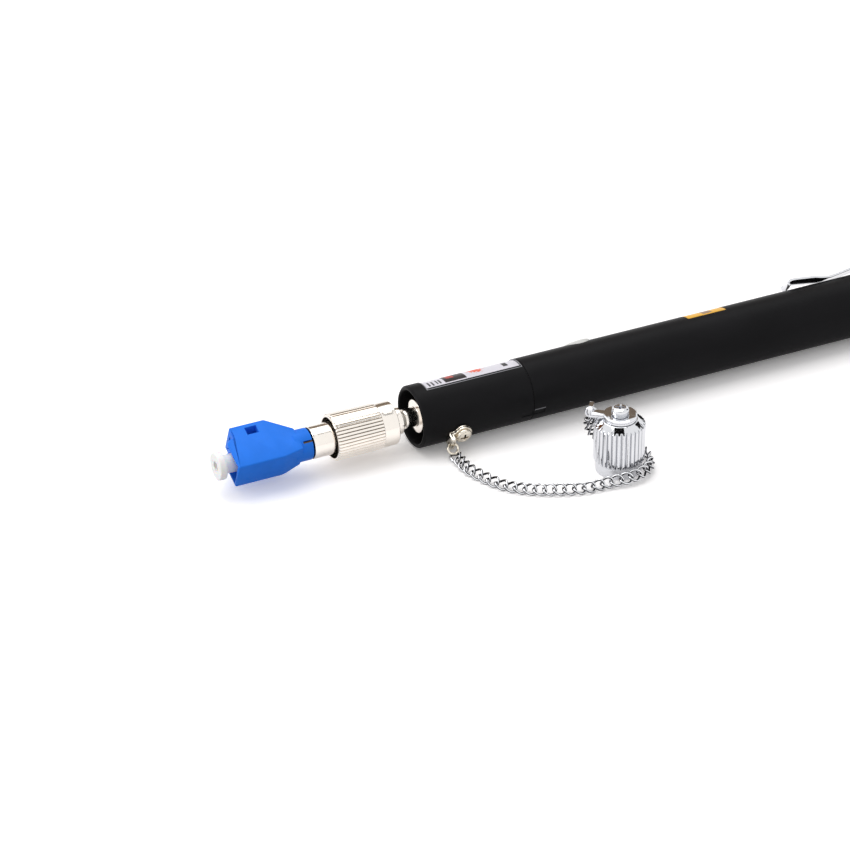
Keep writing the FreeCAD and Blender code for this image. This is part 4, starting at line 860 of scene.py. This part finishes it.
class LOCATOR_OT_barrel(Piece):
    """Main barrel with its seam edges, key slot, button hole, label recess and printed film"""
    bl_idname = "locator.barrel"
    bl_label = "Main barrel"

    def build(self, scene):
        s = scene.pen
        r, depth = s.radius / MM, s.tag_depth / MM
        profile = ring_round([(SEAM + 0.12, r), (BARREL_END - 0.12, r), (BARREL_END, r - SEAM_STEP),
                              (BARREL_END, BARREL_BORE), (SEAM, BARREL_BORE), (SEAM, r - SEAM_STEP)],
                             2.5, s.edge / MM)
        profile = with_stations(profile, either_side(KEY_END, TAG_START, TAG_END), r)
        cuts = skin_cuts(r, TAG_START, TAG_END, TAG_HALF_ANGLE, depth)
        shell = lathe("barrel_shell", profile, skin_angles(-TAG_HALF_ANGLE, TAG_HALF_ANGLE), PEN, change=cuts)
        # Painted highlight: a thin light dash along the upper edge of the key slot
        x, y, z = local_points(shell, PEN)
        above = np.arctan2(y, z) - KEY_ANGLE - KEY_HALF_ANGLE
        upper = (above > 0) & (above < 0.02) & (np.hypot(y, z) > r - 0.05)
        mark(shell, "painted_highlight", np.where(upper & (x > 25.0) & (x < 27.5), 1.0, 0.0))
        hole = [(2.0, 0.0), (2.0, 3.05), (8.0, 3.05), (8.0, 0.0)]
        carve(shell, [lathe("hole", hole, full_turn(96), BUTTON, closed=False, upright=True)])
        finished(shell, "pen", "main_barrel", "anodised black")
        film = printed_film("barrel_print_film", TAG_START, TAG_END, r - depth, TAG_HALF_ANGLE)
        finished(film, "pen", "barrel_label", "barrel print")


class LOCATOR_OT_tail(Piece):
    """Tail cap with its threaded spigot"""
    bl_idname = "locator.tail"
    bl_label = "Tail cap"

    def build(self, scene):
        r, root = scene.pen.radius / MM, 5.45
        start = BARREL_END + SEAT_GAP
        rim = soften([(start, r - SEAM_STEP), (start + SEAM_STEP, r), (PEN_END - 1.0, r), (PEN_END, r - 1.0)],
                     0.35, 4, closed=False)
        inner = [(PEN_END, 0.0), (146.52, 0.0), (146.52, 4.6), (141.0, 4.6), (141.0, root), (146.4, root),
                 (146.4, 4.93), (147.0, 4.93), (147.0, root), (start, root)]
        profile = divided(np.vstack([rim, inner]), 1.5)
        profile = with_stations(profile, np.arange(141.2, 146.2, 0.125), root)
        ridges = thread(TAIL_LEAD, TAIL_RIDGE, root, 141.1, 146.1)
        shell = lathe("tail_shell", profile, full_turn(128), PEN, change=ridges)
        finished(shell, "tail", "tail_cap", "anodised black")


class LOCATOR_OT_button(Piece):
    """Push button with its domed face and retaining flange"""
    bl_idname = "locator.button"
    bl_label = "Push button"

    def build(self, scene):
        lower = [(3.05, 0.0), (3.05, 1.0), (3.4, 1.0), (3.4, 3.3), (4.0, 3.3), (4.0, 3.0)]
        dome = soften([(4.0, 3.0), (6.55, 3.0), (6.73, 2.5), (6.75, 0.0)], 0.18, 4, closed=False)
        profile = divided(np.vstack([lower, dome[1:]]), 0.5, closed=False)
        button = lathe("button_cap", profile, full_turn(96), BUTTON, closed=False, upright=True)
        finished(button, "button", "push_button", "button plastic")


class LOCATOR_OT_port(Piece):
    """Threaded port in the mouth of the pen"""
    bl_idname = "locator.port"
    bl_label = "Fibre port"

    def build(self, scene):
        pitch, post, seat = scene.pen.thread_pitch / MM, 3.5, SLEEVE_BORE - SEAT_GAP
        profile = ring_round([(-1.8, 1.62), (-1.8, 2.0), (1.0, 2.0), (1.0, post), (12.0, post), (12.0, seat),
                              (PORT_BACK, seat), (PORT_BACK, 0.7), (9.2, 0.7), (9.2, 1.62)], 0.8, 0.12)
        profile = with_stations(profile, np.arange(1.4, 11.0, pitch / 6), post)
        ridges = thread(pitch, scene.pen.thread_depth / MM, post, 1.35, 11.0)
        port = lathe("port_post", profile, full_turn(96), PEN, change=ridges)
        finished(port, "pen", "port_body", "nickel plate")


class LOCATOR_OT_clip(Piece):
    """Sprung pocket clip: one crowned leaf with a curled tip that nips the barrel"""
    bl_idname = "locator.clip"
    bl_label = "Pocket clip"

    # Middle of the leaf: station along the pen and height above its axis, from the tip to the foot
    LINE = ((90.3, 6.7), (90.1, 7.2), (90.6, 7.6), (91.8, 7.7), (95.1, 7.3), (98.8, 6.95), (104.2, 7.5),
            (113.5, 8.5), (123.5, 9.35), (133.0, 9.95), (136.7, 9.86), (138.7, 9.0), (140.2, 7.5),
            (141.7, 6.80), (144.5, 6.77), (148.0, 6.77))
    # Crown of the section at stations: 1 follows the barrel, 0 is flat, and less than 0 is cupped
    CROWN = ((88.5, 96.5, 100.0, 108.0, 138.5, 142.5), (-1.3, -1.1, 0.5, 0.35, 0.35, 1.0))
    # Share of the full width at stations
    TAPER = ((88.5, 91.0, 96.5, 148.5), (0.72, 0.9, 1.0, 1.0))

    def build(self, scene):
        s = scene.pen
        high, wide = 0.5 * s.clip_thickness / MM, 0.5 * s.clip_width / MM
        line = smooth_path(self.LINE, 160)
        tangent = np.gradient(line, axis=0)
        tangent /= np.linalg.norm(tangent, axis=1, keepdims=True)
        path = np.stack([line[:, 0], 0 * line[:, 0], line[:, 1]], -1)
        up = np.stack([-tangent[:, 1], 0 * line[:, 0], tangent[:, 0]], -1)
        across = np.broadcast_to(np.array([0.0, 1.0, 0.0]), up.shape)
        section = ring_round([(-wide, -high), (wide, -high), (wide, high), (-wide, high)], 0.6, 0.16)
        points, quads = swept(path, across, up, section, False)
        points[:, 2] -= np.interp(points[:, 0], *self.CROWN) * points[:, 1] ** 2 / (2 * s.radius / MM)
        points[:, 1] *= np.interp(points[:, 0], *self.TAPER)
        leaf = local_mesh("clip_leaf", (points, with_ends(quads, len(section), len(points))), PEN)
        finished(leaf, "pen", "pocket_clip", "bright chrome")


# ---------------------------------------------------------------- adapter

class LOCATOR_OT_adapter_tube(Piece):
    """Adapter tube with its keyed nose, and the ferrule in it"""
    bl_idname = "locator.adapter_tube"
    bl_label = "Adapter tube"

    def build(self, scene):
        nose, stem_start = 2.82, -22.5
        profile = ring_round([(-2.6, 1.27), (-2.6, nose), (-9.2, nose), (-9.2, 3.62), (-10.2, 3.62),
                              (-10.2, 3.35), (stem_start + 0.15, 3.35), (stem_start, 3.2), (stem_start, 2.4),
                              (-27.0, 2.4), (-27.0, 1.27)], 1.0, 0.14)
        key_end = -4.3
        profile = with_stations(profile, either_side(key_end), nose)
        key_half_angle = 0.6 / 3.1

        def key(x, radius, a):
            """The key on the nose: the radius grows to the key's top over its width"""
            on = (x > key_end) & (radius > 2.6) & (radius < 2.9) & (np.abs(signed(a)) < key_half_angle)
            return np.where(on, 0.5, 0.0)

        angles = full_turn(120, -key_half_angle, key_half_angle)
        tube = lathe("adapter_tube", profile, angles, ADAPTER, change=key)
        # Painted shade: the stem, seen through the slot between the jaws, is darkened to stand for the slot's
        # shade
        mark(tube, "painted_shade", np.where(local_points(tube, ADAPTER)[0] < stem_start + 0.05, 1.0, 0.0))
        finished(tube, "adapter", "adapter_barrel", "nickel plate")
        tip = soften([(8.0, 0.0), (8.0, 1.05), (7.7, 1.25), (-10.0, 1.25), (-10.0, 0.0)], 0.12, closed=False)
        pin = lathe("ferrule_pin", divided(tip, 2.0, closed=False), full_turn(48), ADAPTER, closed=False)
        finished(pin, "adapter", "ferrule", "zirconia")


class LOCATOR_OT_nut(Piece):
    """Coupling nut: smooth collar, straight teeth and an open rear"""
    bl_idname = "locator.nut"
    bl_label = "Coupling nut"

    # Steps over one tooth, close together at the sides of the valley
    STEPS = (0.0, 0.05, 0.11, 0.17, 0.28, 0.42, 0.58, 0.72, 0.83, 0.89, 0.95)

    def build(self, scene):
        s = scene.adapter
        depth, teeth_start = s.tooth_depth / MM, -7.7
        profile = ring_round([(-4.3, 3.95), (-4.3, 4.45), (-4.45, 4.6), (teeth_start, 4.6), (-7.72, 4.76),
                              (-8.0, 4.78), (-17.5, 4.93), (-17.93, 4.72), (-17.93, 4.25), (-12.0, 4.25),
                              (-12.0, 3.4), (-10.5, 3.4), (-10.5, 3.95)], 1.0, 0.12)

        def valleys(x, radius, a):
            """Straight valleys, deepest in the middle and gone at a sixth of the pitch, and rounded crests"""
            off = from_nearest(a, s.teeth)
            crest = -0.03 * (np.maximum(off - 0.3, 0) / 0.2) ** 2
            on = (x < teeth_start) & (radius > 4.6)
            return np.where(on, -depth * np.clip(1 - off / 0.17, 0, 1) + crest, 0.0)

        nut = lathe("knurled_nut", profile, repeated_turn(s.teeth, self.STEPS), ADAPTER, change=valleys)
        # Painted shade in the valleys between the teeth, darkest in the middle of each valley and gone
        # towards the crests
        x, y, z = local_points(nut, ADAPTER)
        shade_mask = 0.72 * np.clip(1 - from_nearest(np.arctan2(y, z), s.teeth) / 0.12, 0, 1)
        mark(nut, "painted_shade", np.where((x < teeth_start) & (np.hypot(y, z) > 4.4), shade_mask, 0.0))
        finished(nut, "nut", "coupling_nut", "nickel plate", 30)


class LOCATOR_OT_housing(Piece):
    """Moulded housing: softened side outline, round jaw neck, square port, latch way and window"""
    bl_idname = "locator.housing"
    bl_label = "Square-port housing"

    SIDE = ((-39.6, -3.8), (-39.6, 2.6), (-38.75, 3.45), (-37.9, 3.45), (-37.9, 6.1), (-30.4, 6.1),
            (-25.3, 2.3), (-25.3, -3.0), (-29.5, -3.8))
    NECK = ((-26.5, 0.0), (-26.5, 3.3), (-22.8, 3.3), (-22.8, 0.0))
    # Slope of the +Y flank down to the neck, cut through the whole height: corners in X and Y
    FLANK = ((-29.5, 3.2), (-25.2, 1.9), (-25.2, 6.0), (-29.5, 6.0))
    # Low and high corners of the openings
    PORT = ((-40.5, -2.3, -2.3), (-30.0, 2.3, 2.3))
    LATCH_WAY = ((-40.6, -1.6, 0.0), (-30.4, 1.6, 5.1))
    WINDOW = ((-34.9, -4.0, 3.4), (-32.4, 4.0, 5.2))
    ENTRY = ((-40.5, -2.6, -3.2), (-38.0, 2.6, 2.0))
    # Low and high corner of the slot between the jaws, in their own frame
    JAW_SLOT = ((-24.8, -0.25, -6.5), (-22.0, 0.25, 6.5))
    # Start, end and radius of the bores
    BORES = ((-27.0, -22.0, 2.42), (-41.0, -20.0, 0.97))

    def build(self, scene):
        s = scene.adapter
        edge = s.housing_edge / MM
        shell = local_mesh("housing_shell", slab(soften(self.SIDE, edge, 4), 3.2, edge), ADAPTER)
        neck = soften(self.NECK, 0.12, 2, closed=False)
        carve(shell, [lathe("neck", neck, full_turn(96), ADAPTER, closed=False)], "UNION")
        points, faces = slab(np.array(self.FLANK), 9.0, 0.0, 1)
        cutters = [local_mesh("flank", (points[:, [0, 2, 1]], faces), ADAPTER)]
        for low, high in (self.PORT, self.LATCH_WAY, self.WINDOW, self.ENTRY):
            cutters.append(local_mesh("opening", box_mesh(low, high), ADAPTER))
        cutters.append(local_mesh("jaw_slot", box_mesh(*self.JAW_SLOT), JAWS))
        for low, high, radius in self.BORES:
            bore = [(low, 0.0), (low, radius), (high, radius), (high, 0.0)]
            cutters.append(lathe("bore", bore, full_turn(96), ADAPTER, closed=False))
        carve(shell, cutters)
        bevel(shell, s.cut_edge, 50)
        finished(shell, "adapter", "lc_housing", "blue moulding", 35)


class LOCATOR_OT_plug(Piece):
    """White dust plug in the square port"""
    bl_idname = "locator.plug"
    bl_label = "Dust plug"

    def build(self, scene):
        profile = ring_round([(-42.8, 1.05), (-42.8, 2.75), (-42.65, 2.9), (-41.45, 2.9), (-41.3, 2.75),
                              (-41.3, 1.9), (-38.0, 1.9), (-38.0, 2.25), (-32.0, 2.25), (-32.0, 1.05)],
                             0.8, 0.16)
        plug = lathe("port_plug", profile, full_turn(96), ADAPTER)
        finished(plug, "plug", "dust_plug", "white moulding")


# ---------------------------------------------------------------- dust cap and tether

class LOCATOR_OT_dust_cap(Piece):
    """Chromed dust cap: smooth skirt, straight flutes, bevelled shoulder and boss"""
    bl_idname = "locator.dust_cap"
    bl_label = "Dust cap"

    # Steps over one flute, close together at the sides of the groove
    STEPS = (0.0, 0.10, 0.20, 0.27, 0.32, 0.36, 0.5, 0.64, 0.68, 0.73, 0.80, 0.90)

    def build(self, scene):
        s = scene.tether
        groove, crest, flutes_start = s.flute_radius / MM, 5.2, 2.4
        outer = soften([(9.0, 0.0), (9.0, 3.6), (0.0, 3.6), (0.0, 4.7), (2.3, 4.7), (2.8, crest),
                        (10.6, crest), (11.8, 3.6), (11.8, 1.5), (12.95, 1.5), (12.95, 0.0)],
                       0.14, closed=False)

        def grooves(z, radius, a):
            """Round flutes: the radius is the smaller of the profile's and that of the groove's circle"""
            away = from_nearest(a, s.flutes) * TURN / s.flutes * crest
            reach = np.sqrt(np.maximum(groove ** 2 - away ** 2, 0))
            floor = np.where(reach > 0, crest + 0.4 * groove - reach, np.inf)
            on = (z > flutes_start) & (radius > 3.7)
            return np.where(on, np.minimum(floor, radius) - radius, 0.0)

        cap = lathe("fluted_cap", divided(outer, 0.6, closed=False), repeated_turn(s.flutes, self.STEPS), CAP,
                    change=grooves, closed=False, upright=True)
        # Painted shade in the grooves of the flutes, darkest in the middle of each groove
        x, y, z = local_points(cap, CAP)
        shade_mask = np.clip(1 - from_nearest(np.arctan2(y, x), s.flutes) / 0.2, 0, 1)
        fluted = (z > flutes_start) & (z < 10.8) & (np.hypot(x, y) > 4.2)
        mark(cap, "painted_shade", np.where(fluted, shade_mask, 0.0))
        finished(cap, "cap", "dust_cap", "bright chrome", 50)


def cross_screw(name, matrix, low, seat, top, shank, head):
    """A pan-head screw with a tapered cross recess, about its own upright axis"""
    outline = soften([(low, 0.0), (low, shank), (seat, shank), (seat, head), (top - 0.35, head),
                      (top - 0.08, 0.72 * head), (top, 0.0)], 0.22, 4, closed=False)
    profile = divided(outline, 0.4, closed=False)
    thing = lathe(name, profile, full_turn(72), matrix, closed=False, upright=True)
    arm, half = 1.0, 0.22
    cross = np.array([(half, half), (arm, half), (arm, -half), (half, -half), (half, -arm), (-half, -arm),
                      (-half, -half), (-arm, -half), (-arm, half), (-half, half), (-half, arm), (half, arm)])
    layers = [np.hstack([cross * scale, np.full((len(cross), 1), height)])
              for scale, height in ((0.55, top - 0.6), (1.1, top + 0.15))]
    faces = with_ends(grid_quads(2, len(cross), False, True), len(cross), 2 * len(cross))
    carve(thing, [local_mesh("recess", (np.vstack(layers), faces), matrix)])
    # Painted shade in the bottom of the cross recess
    x, y, z = local_points(thing, matrix)
    deep = (np.hypot(x, y) < 1.0) & (z > top - 0.65) & (z < top - 0.3)
    mark(thing, "painted_shade", np.where(deep, 1.0, 0.0))
    return thing


class LOCATOR_OT_screws(Piece):
    """Cross-recessed screws of the lug and of the dust cap"""
    bl_idname = "locator.screws"
    bl_label = "Screws"

    def build(self, scene):
        lug = cross_screw("lug_screw_head", LUG, low=5.75, seat=7.39, top=8.34, shank=0.95, head=1.7)
        finished(lug, "pen", "lug_screw", "champagne plate")
        cap = cross_screw("cap_screw_head", CAP, low=9.55, seat=12.95, top=14.45, shank=0.85, head=1.75)
        finished(cap, "cap", "cap_screw", "bright chrome")


class LOCATOR_OT_straps(Piece):
    """Folded eye straps that carry the jump rings"""
    bl_idname = "locator.straps"
    bl_label = "Chain straps"

    def build(self, scene):
        for node, name, plate in (("lug_strap", "lug_eye_strap", "champagne plate"),
                                  ("cap_strap", "cap_eye_strap", "bright chrome")):
            faces = [list(face.vertices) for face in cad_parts[node].data.polygons]
            strap = new_mesh(name, node_points(node), faces)
            flat = strap.modifiers.new("flat", "DECIMATE")
            flat.decimate_type = "DISSOLVE"
            flat.angle_limit = np.radians(1)
            settle(strap)
            bevel(strap, scene.tether.strap_edge, 40)
            finished(strap, "pen", node, plate)


class LOCATOR_OT_rings(Piece):
    """Round-wire jump rings at both ends of the chain"""
    bl_idname = "locator.rings"
    bl_label = "Jump rings"

    def build(self, scene):
        s = scene.tether
        out = np.hstack([circle(1.0, 72), np.zeros((72, 1))])
        up = np.broadcast_to(np.array([0.0, 0.0, 1.0]), out.shape)
        hoop = swept(out * s.ring_radius / MM, out, up, circle(s.ring_wire / MM, 16), True)
        for node, name, plate in (("lug_ring", "lug_jump_ring", "champagne plate"),
                                  ("cap_ring", "cap_jump_ring", "bright chrome")):
            ring = local_mesh(name, hoop, principal_frame(components(node)[0]))
            finished(ring, "pen", node, plate)


class LOCATOR_OT_chain(Piece):
    """Curb chain: a twisted oval of round wire set on every link of the engineering chain"""
    bl_idname = "locator.chain"
    bl_label = "Curb chain"

    def link(self, s, steps, sides):
        """One link along X, a round wire swept along its middle line.

        The line is (x, y cos w, y sin w), where x and y run round an oval with straight sides and the twist w
        is in proportion to x.
        """
        wire = 0.5 * s.wire / MM
        half, bend = 0.5 * s.reach / MM - wire, 0.5 * s.width / MM - wire
        t = np.linspace(0, TURN, steps, endpoint=False)
        straight = (half - bend) * np.sign(np.cos(t)) * np.minimum(1, np.abs(np.cos(t)) * 2.2)
        along, across = straight + bend * np.cos(t), bend * np.sin(t)
        twist = s.twist * 0.5 * along / half
        line = np.stack([along, across * np.cos(twist), across * np.sin(twist)], -1)
        tangent = np.roll(line, -1, 0) - np.roll(line, 1, 0)
        tangent /= np.linalg.norm(tangent, axis=1, keepdims=True)
        face = np.stack([0 * twist, -np.sin(twist), np.cos(twist)], -1)
        side = np.cross(tangent, face)
        side /= np.linalg.norm(side, axis=1, keepdims=True)
        return swept(line, side, np.cross(side, tangent), circle(wire, sides), True)

    def build(self, scene):
        steps, sides = 28, 12
        link, quads = self.link(scene.tether, steps, sides)
        frames = [principal_frame(solid) for solid in components("chain")]
        points = np.concatenate([placed(link, matrix) for matrix in frames])
        faces = np.concatenate([quads + index * len(link) for index in range(len(frames))])
        chain = new_mesh("curb_chain", points, faces)
        # Painted shade: the wire is darkened where it faces into the link and straight out of it, and left
        # bright on the link's flat faces
        outward = circle(1.0, sides)[:, 0]
        shade_mask = np.where(outward < -0.1, 1.0, np.where(outward > 0.6, 0.9, 0.0))
        mark(chain, "painted_shade", np.tile(shade_mask, len(frames) * steps))
        finished(chain, "pen", "chain", "chain plate", 60)


# Finishes of the pieces that keep their engineering shape
INNER = {
    "index_key": "key moulding", "split_sleeve": "zirconia", "laser_housing": "nickel plate",
    "focus_lens": "lens glass", "laser_diode": "gilt can", "driver_board": "board lacquer",
    "tact_switch": "key moulding", "battery_contact": "spring steel", "battery_front": "cell jacket",
    "battery_rear": "cell jacket", "battery_spring": "spring steel", "spring_seat": "spring steel",
    "tail_seal": "seal rubber", "nut_ring": "spring steel", "lc_sleeve": "zirconia",
}


class LOCATOR_OT_inner_parts(Piece):
    """Finishes of the pieces that keep their engineering shape"""
    bl_idname = "locator.inner_parts"
    bl_label = "Inner parts"

    def build(self, scene):
        for node, name in INNER.items():
            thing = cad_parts[node]
            if not thing.material_slots:
                thing.data.materials.append(None)
            for holder in thing.material_slots:
                holder.link = "OBJECT"
                holder.material = FINISH[name]


# ---------------------------------------------------------------- stage

# Cards that shiny surfaces and glass see: place from the mouth of the pen in metres, width, depth, colour
CARDS = (
    ("card_above", (-0.118, -0.244, 0.963), 0.54, 0.40, (0.012, 0.012, 0.012)),
    ("bar_above", (0.37, -0.06, 0.92), 0.42, 0.05, (0.03, 0.03, 0.03)),
    ("card_behind", (0.40, 0.80, 0.42), 0.55, 0.46, (0.30, 0.23, 0.17)),
    ("card_left", (-0.42, 0.75, 0.50), 0.38, 0.38, (0.22, 0.085, 0.03)),
    ("card_right", (0.844, 0.139, 0.519), 0.34, 0.34, (0.012, 0.012, 0.012)),
)
# Lamps: place from the mouth of the pen in metres, and size
OVERHEAD_PLACE, OVERHEAD_SIZE = (0.05, 0.35, 0.95), 0.9
SIDE_PLACE, SIDE_SIZE = (-0.9, 0.25, 0.45), 0.5
# The camera and the point it looks at: place from the floor below the mouth of the pen, in metres
EYE_PLACE = (-0.28819, -0.60653, 0.42297)
AIM_PLACE = (0.005899, 0.005527, 0.0)
FLOOR_HALF = 3.0


def linked(name, data):
    """A new object of some data, in the scene"""
    thing = bpy.data.objects.new(name, data)
    bpy.context.scene.collection.objects.link(thing)
    return thing


def aimed(thing, spot, target, axis):
    """Puts an object at a spot with one of its axes towards a target"""
    thing.location = spot
    thing.rotation_euler = (Vector(target) - Vector(spot)).to_track_quat(axis, "Y").to_euler()


def sheet(name, across, along, material):
    """A flat rectangle from its half width and half depth"""
    corners = [(-across, -along, 0), (across, -along, 0), (across, along, 0), (-across, along, 0)]
    mesh = bpy.data.meshes.new(name)
    mesh.from_pydata(corners, [], [(0, 1, 2, 3)])
    mesh.materials.append(material)
    thing = linked(name, mesh)
    return thing


class LOCATOR_OT_stage(bpy.types.Operator):
    """Pale floor, plain soft light, cards for the shiny metal, and the camera"""
    bl_idname = "locator.stage"
    bl_label = "Stage"

    def execute(self, context):
        scene = context.scene
        s = scene.stage_settings
        centre = Vector(MOUTH * MM)
        self.floor(s)
        self.room(scene, s)
        self.lamp("overhead", centre, OVERHEAD_PLACE, OVERHEAD_SIZE, s.key)
        self.lamp("side", centre, SIDE_PLACE, SIDE_SIZE, s.rim)
        for card in CARDS:
            self.card(centre, *card)
        self.camera(scene, s)
        scene.view_settings.view_transform = "Standard"
        return {"FINISHED"}

    def floor(self, s):
        """Paper that is white where it is seen, and gives back less light to the object"""
        made = new_finish("floor paper", Roughness=0.9, Specular_IOR_Level=0.0)
        path = made.add("ShaderNodeLightPath").outputs
        mirrored = made.math("MULTIPLY", path["Is Glossy Ray"], s.mirrored)
        seen = made.math("MAXIMUM", path["Is Camera Ray"], mirrored)
        grain = made.spread(made.noise(made.position(), 900.0), 0.0, 1.0)
        white, warm = s.paper, 0.985 * s.paper
        plain = made.blend(grain, (white, warm, warm, 1), (1.01 * white, 1.01 * warm, 1.01 * warm, 1))
        tone = made.blend(seen, opaque((s.floor,) * 3), plain)
        paper = made.add("ShaderNodeBsdfDiffuse", (("Color", tone),))
        glow = made.add("ShaderNodeEmission", (("Strength", made.math("MULTIPLY", seen, s.glow)),))
        both = made.add("ShaderNodeAddShader", ((0, paper.outputs[0]), (1, glow.outputs[0])))
        made.feed(made.tree.nodes["Material Output"].inputs["Surface"], both.outputs[0])
        sheet("floor", FLOOR_HALF, FLOOR_HALF, made.holder)

    def room(self, scene, s):
        """Plain light, and full white where the eye, a mirror or glass sees it"""
        made = Nodes(bpy.data.worlds.new("room"))
        path = made.add("ShaderNodeLightPath").outputs
        seen = made.math("MAXIMUM", path["Is Camera Ray"], path["Is Glossy Ray"])
        seen = made.math("MAXIMUM", seen, path["Is Transmission Ray"])
        sky = made.tree.nodes["Background"].inputs
        made.feed(sky["Color"], (1, 1, 1, 1))
        made.feed(sky["Strength"], made.spread(seen, s.sky, 1.0, 0.0, 1.0))
        scene.world = made.holder

    def lamp(self, name, centre, spot, size, watts):
        """A square area lamp that faces the mouth of the pen"""
        data = bpy.data.lights.new(name, "AREA")
        data.size = size
        data.energy = watts
        aimed(linked(name, data), centre + Vector(spot), centre, "-Z")

    def card(self, centre, name, spot, width, depth, rgb):
        """A card that shiny surfaces and glass see and the camera doesn't, facing the mouth of the pen"""
        made = new_finish(name, Roughness=1.0, Specular_IOR_Level=0.0, Base_Color=opaque(rgb))
        thing = sheet(name, 0.5 * width, 0.5 * depth, made.holder)
        aimed(thing, centre + Vector(spot), centre, "Z")
        thing.visible_camera = False
        thing.visible_diffuse = False
        thing.visible_shadow = False

    def camera(self, scene, s):
        """The camera, level with the horizon"""
        data = bpy.data.cameras.new("camera")
        data.lens = s.lens
        data.sensor_width = 36.0
        data.clip_end = 50.0
        foot = Vector((MOUTH[0], MOUTH[1], 0.0)) * MM
        eye, aim = foot + Vector(EYE_PLACE), foot + Vector(AIM_PLACE)
        thing = linked("camera", data)
        thing.location = eye
        thing.rotation_mode = "QUATERNION"
        thing.rotation_quaternion = (aim - eye).to_track_quat("-Z", "Y")
        scene.camera = thing


# ---------------------------------------------------------------- add-on

PIECE_OPERATORS = (
    LOCATOR_OT_sleeve, LOCATOR_OT_barrel, LOCATOR_OT_tail, LOCATOR_OT_button, LOCATOR_OT_port,
    LOCATOR_OT_clip, LOCATOR_OT_adapter_tube, LOCATOR_OT_nut, LOCATOR_OT_housing, LOCATOR_OT_plug,
    LOCATOR_OT_dust_cap, LOCATOR_OT_screws, LOCATOR_OT_straps, LOCATOR_OT_rings, LOCATOR_OT_chain,
    LOCATOR_OT_inner_parts,
)
GROUPS = {"pen": PenSizes, "adapter": AdapterSizes, "tether": TetherSizes, "finishes": Finishes,
          "stage_settings": StageSettings}


class LOCATOR_PT_panel(bpy.types.Panel):
    """Lists the sizes, the colours and the operators"""
    bl_idname = "LOCATOR_PT_panel"
    bl_label = "Fault Locator"
    bl_space_type = "VIEW_3D"
    bl_region_type = "UI"
    bl_category = "Fault Locator"

    def draw(self, context):
        for name, group in GROUPS.items():
            box = self.layout.box()
            box.label(text=name.replace("_", " ").capitalize())
            for field in group.__annotations__:
                box.prop(getattr(context.scene, name), field)
        for operator in PIECE_OPERATORS + (LOCATOR_OT_stage,):
            self.layout.operator(operator.bl_idname)


CLASSES = tuple(GROUPS.values()) + PIECE_OPERATORS + (LOCATOR_OT_stage, LOCATOR_PT_panel)


def register():
    """Registers the classes and hangs the settings on the scene"""
    for item in CLASSES:
        bpy.utils.register_class(item)
    for name, group in GROUPS.items():
        setattr(bpy.types.Scene, name, bpy.props.PointerProperty(type=group))


def unregister():
    """Takes the classes and the settings away again"""
    for name in GROUPS:
        delattr(bpy.types.Scene, name)
    for item in reversed(CLASSES):
        bpy.utils.unregister_class(item)


def main():
    """Registers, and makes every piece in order"""
    register()
    make_finishes(bpy.context.scene.finishes)
    for operator in PIECE_OPERATORS + (LOCATOR_OT_stage,):
        group, name = operator.bl_idname.split(".")
        getattr(getattr(bpy.ops, group), name)()


if __name__ == "__main__":
    main()
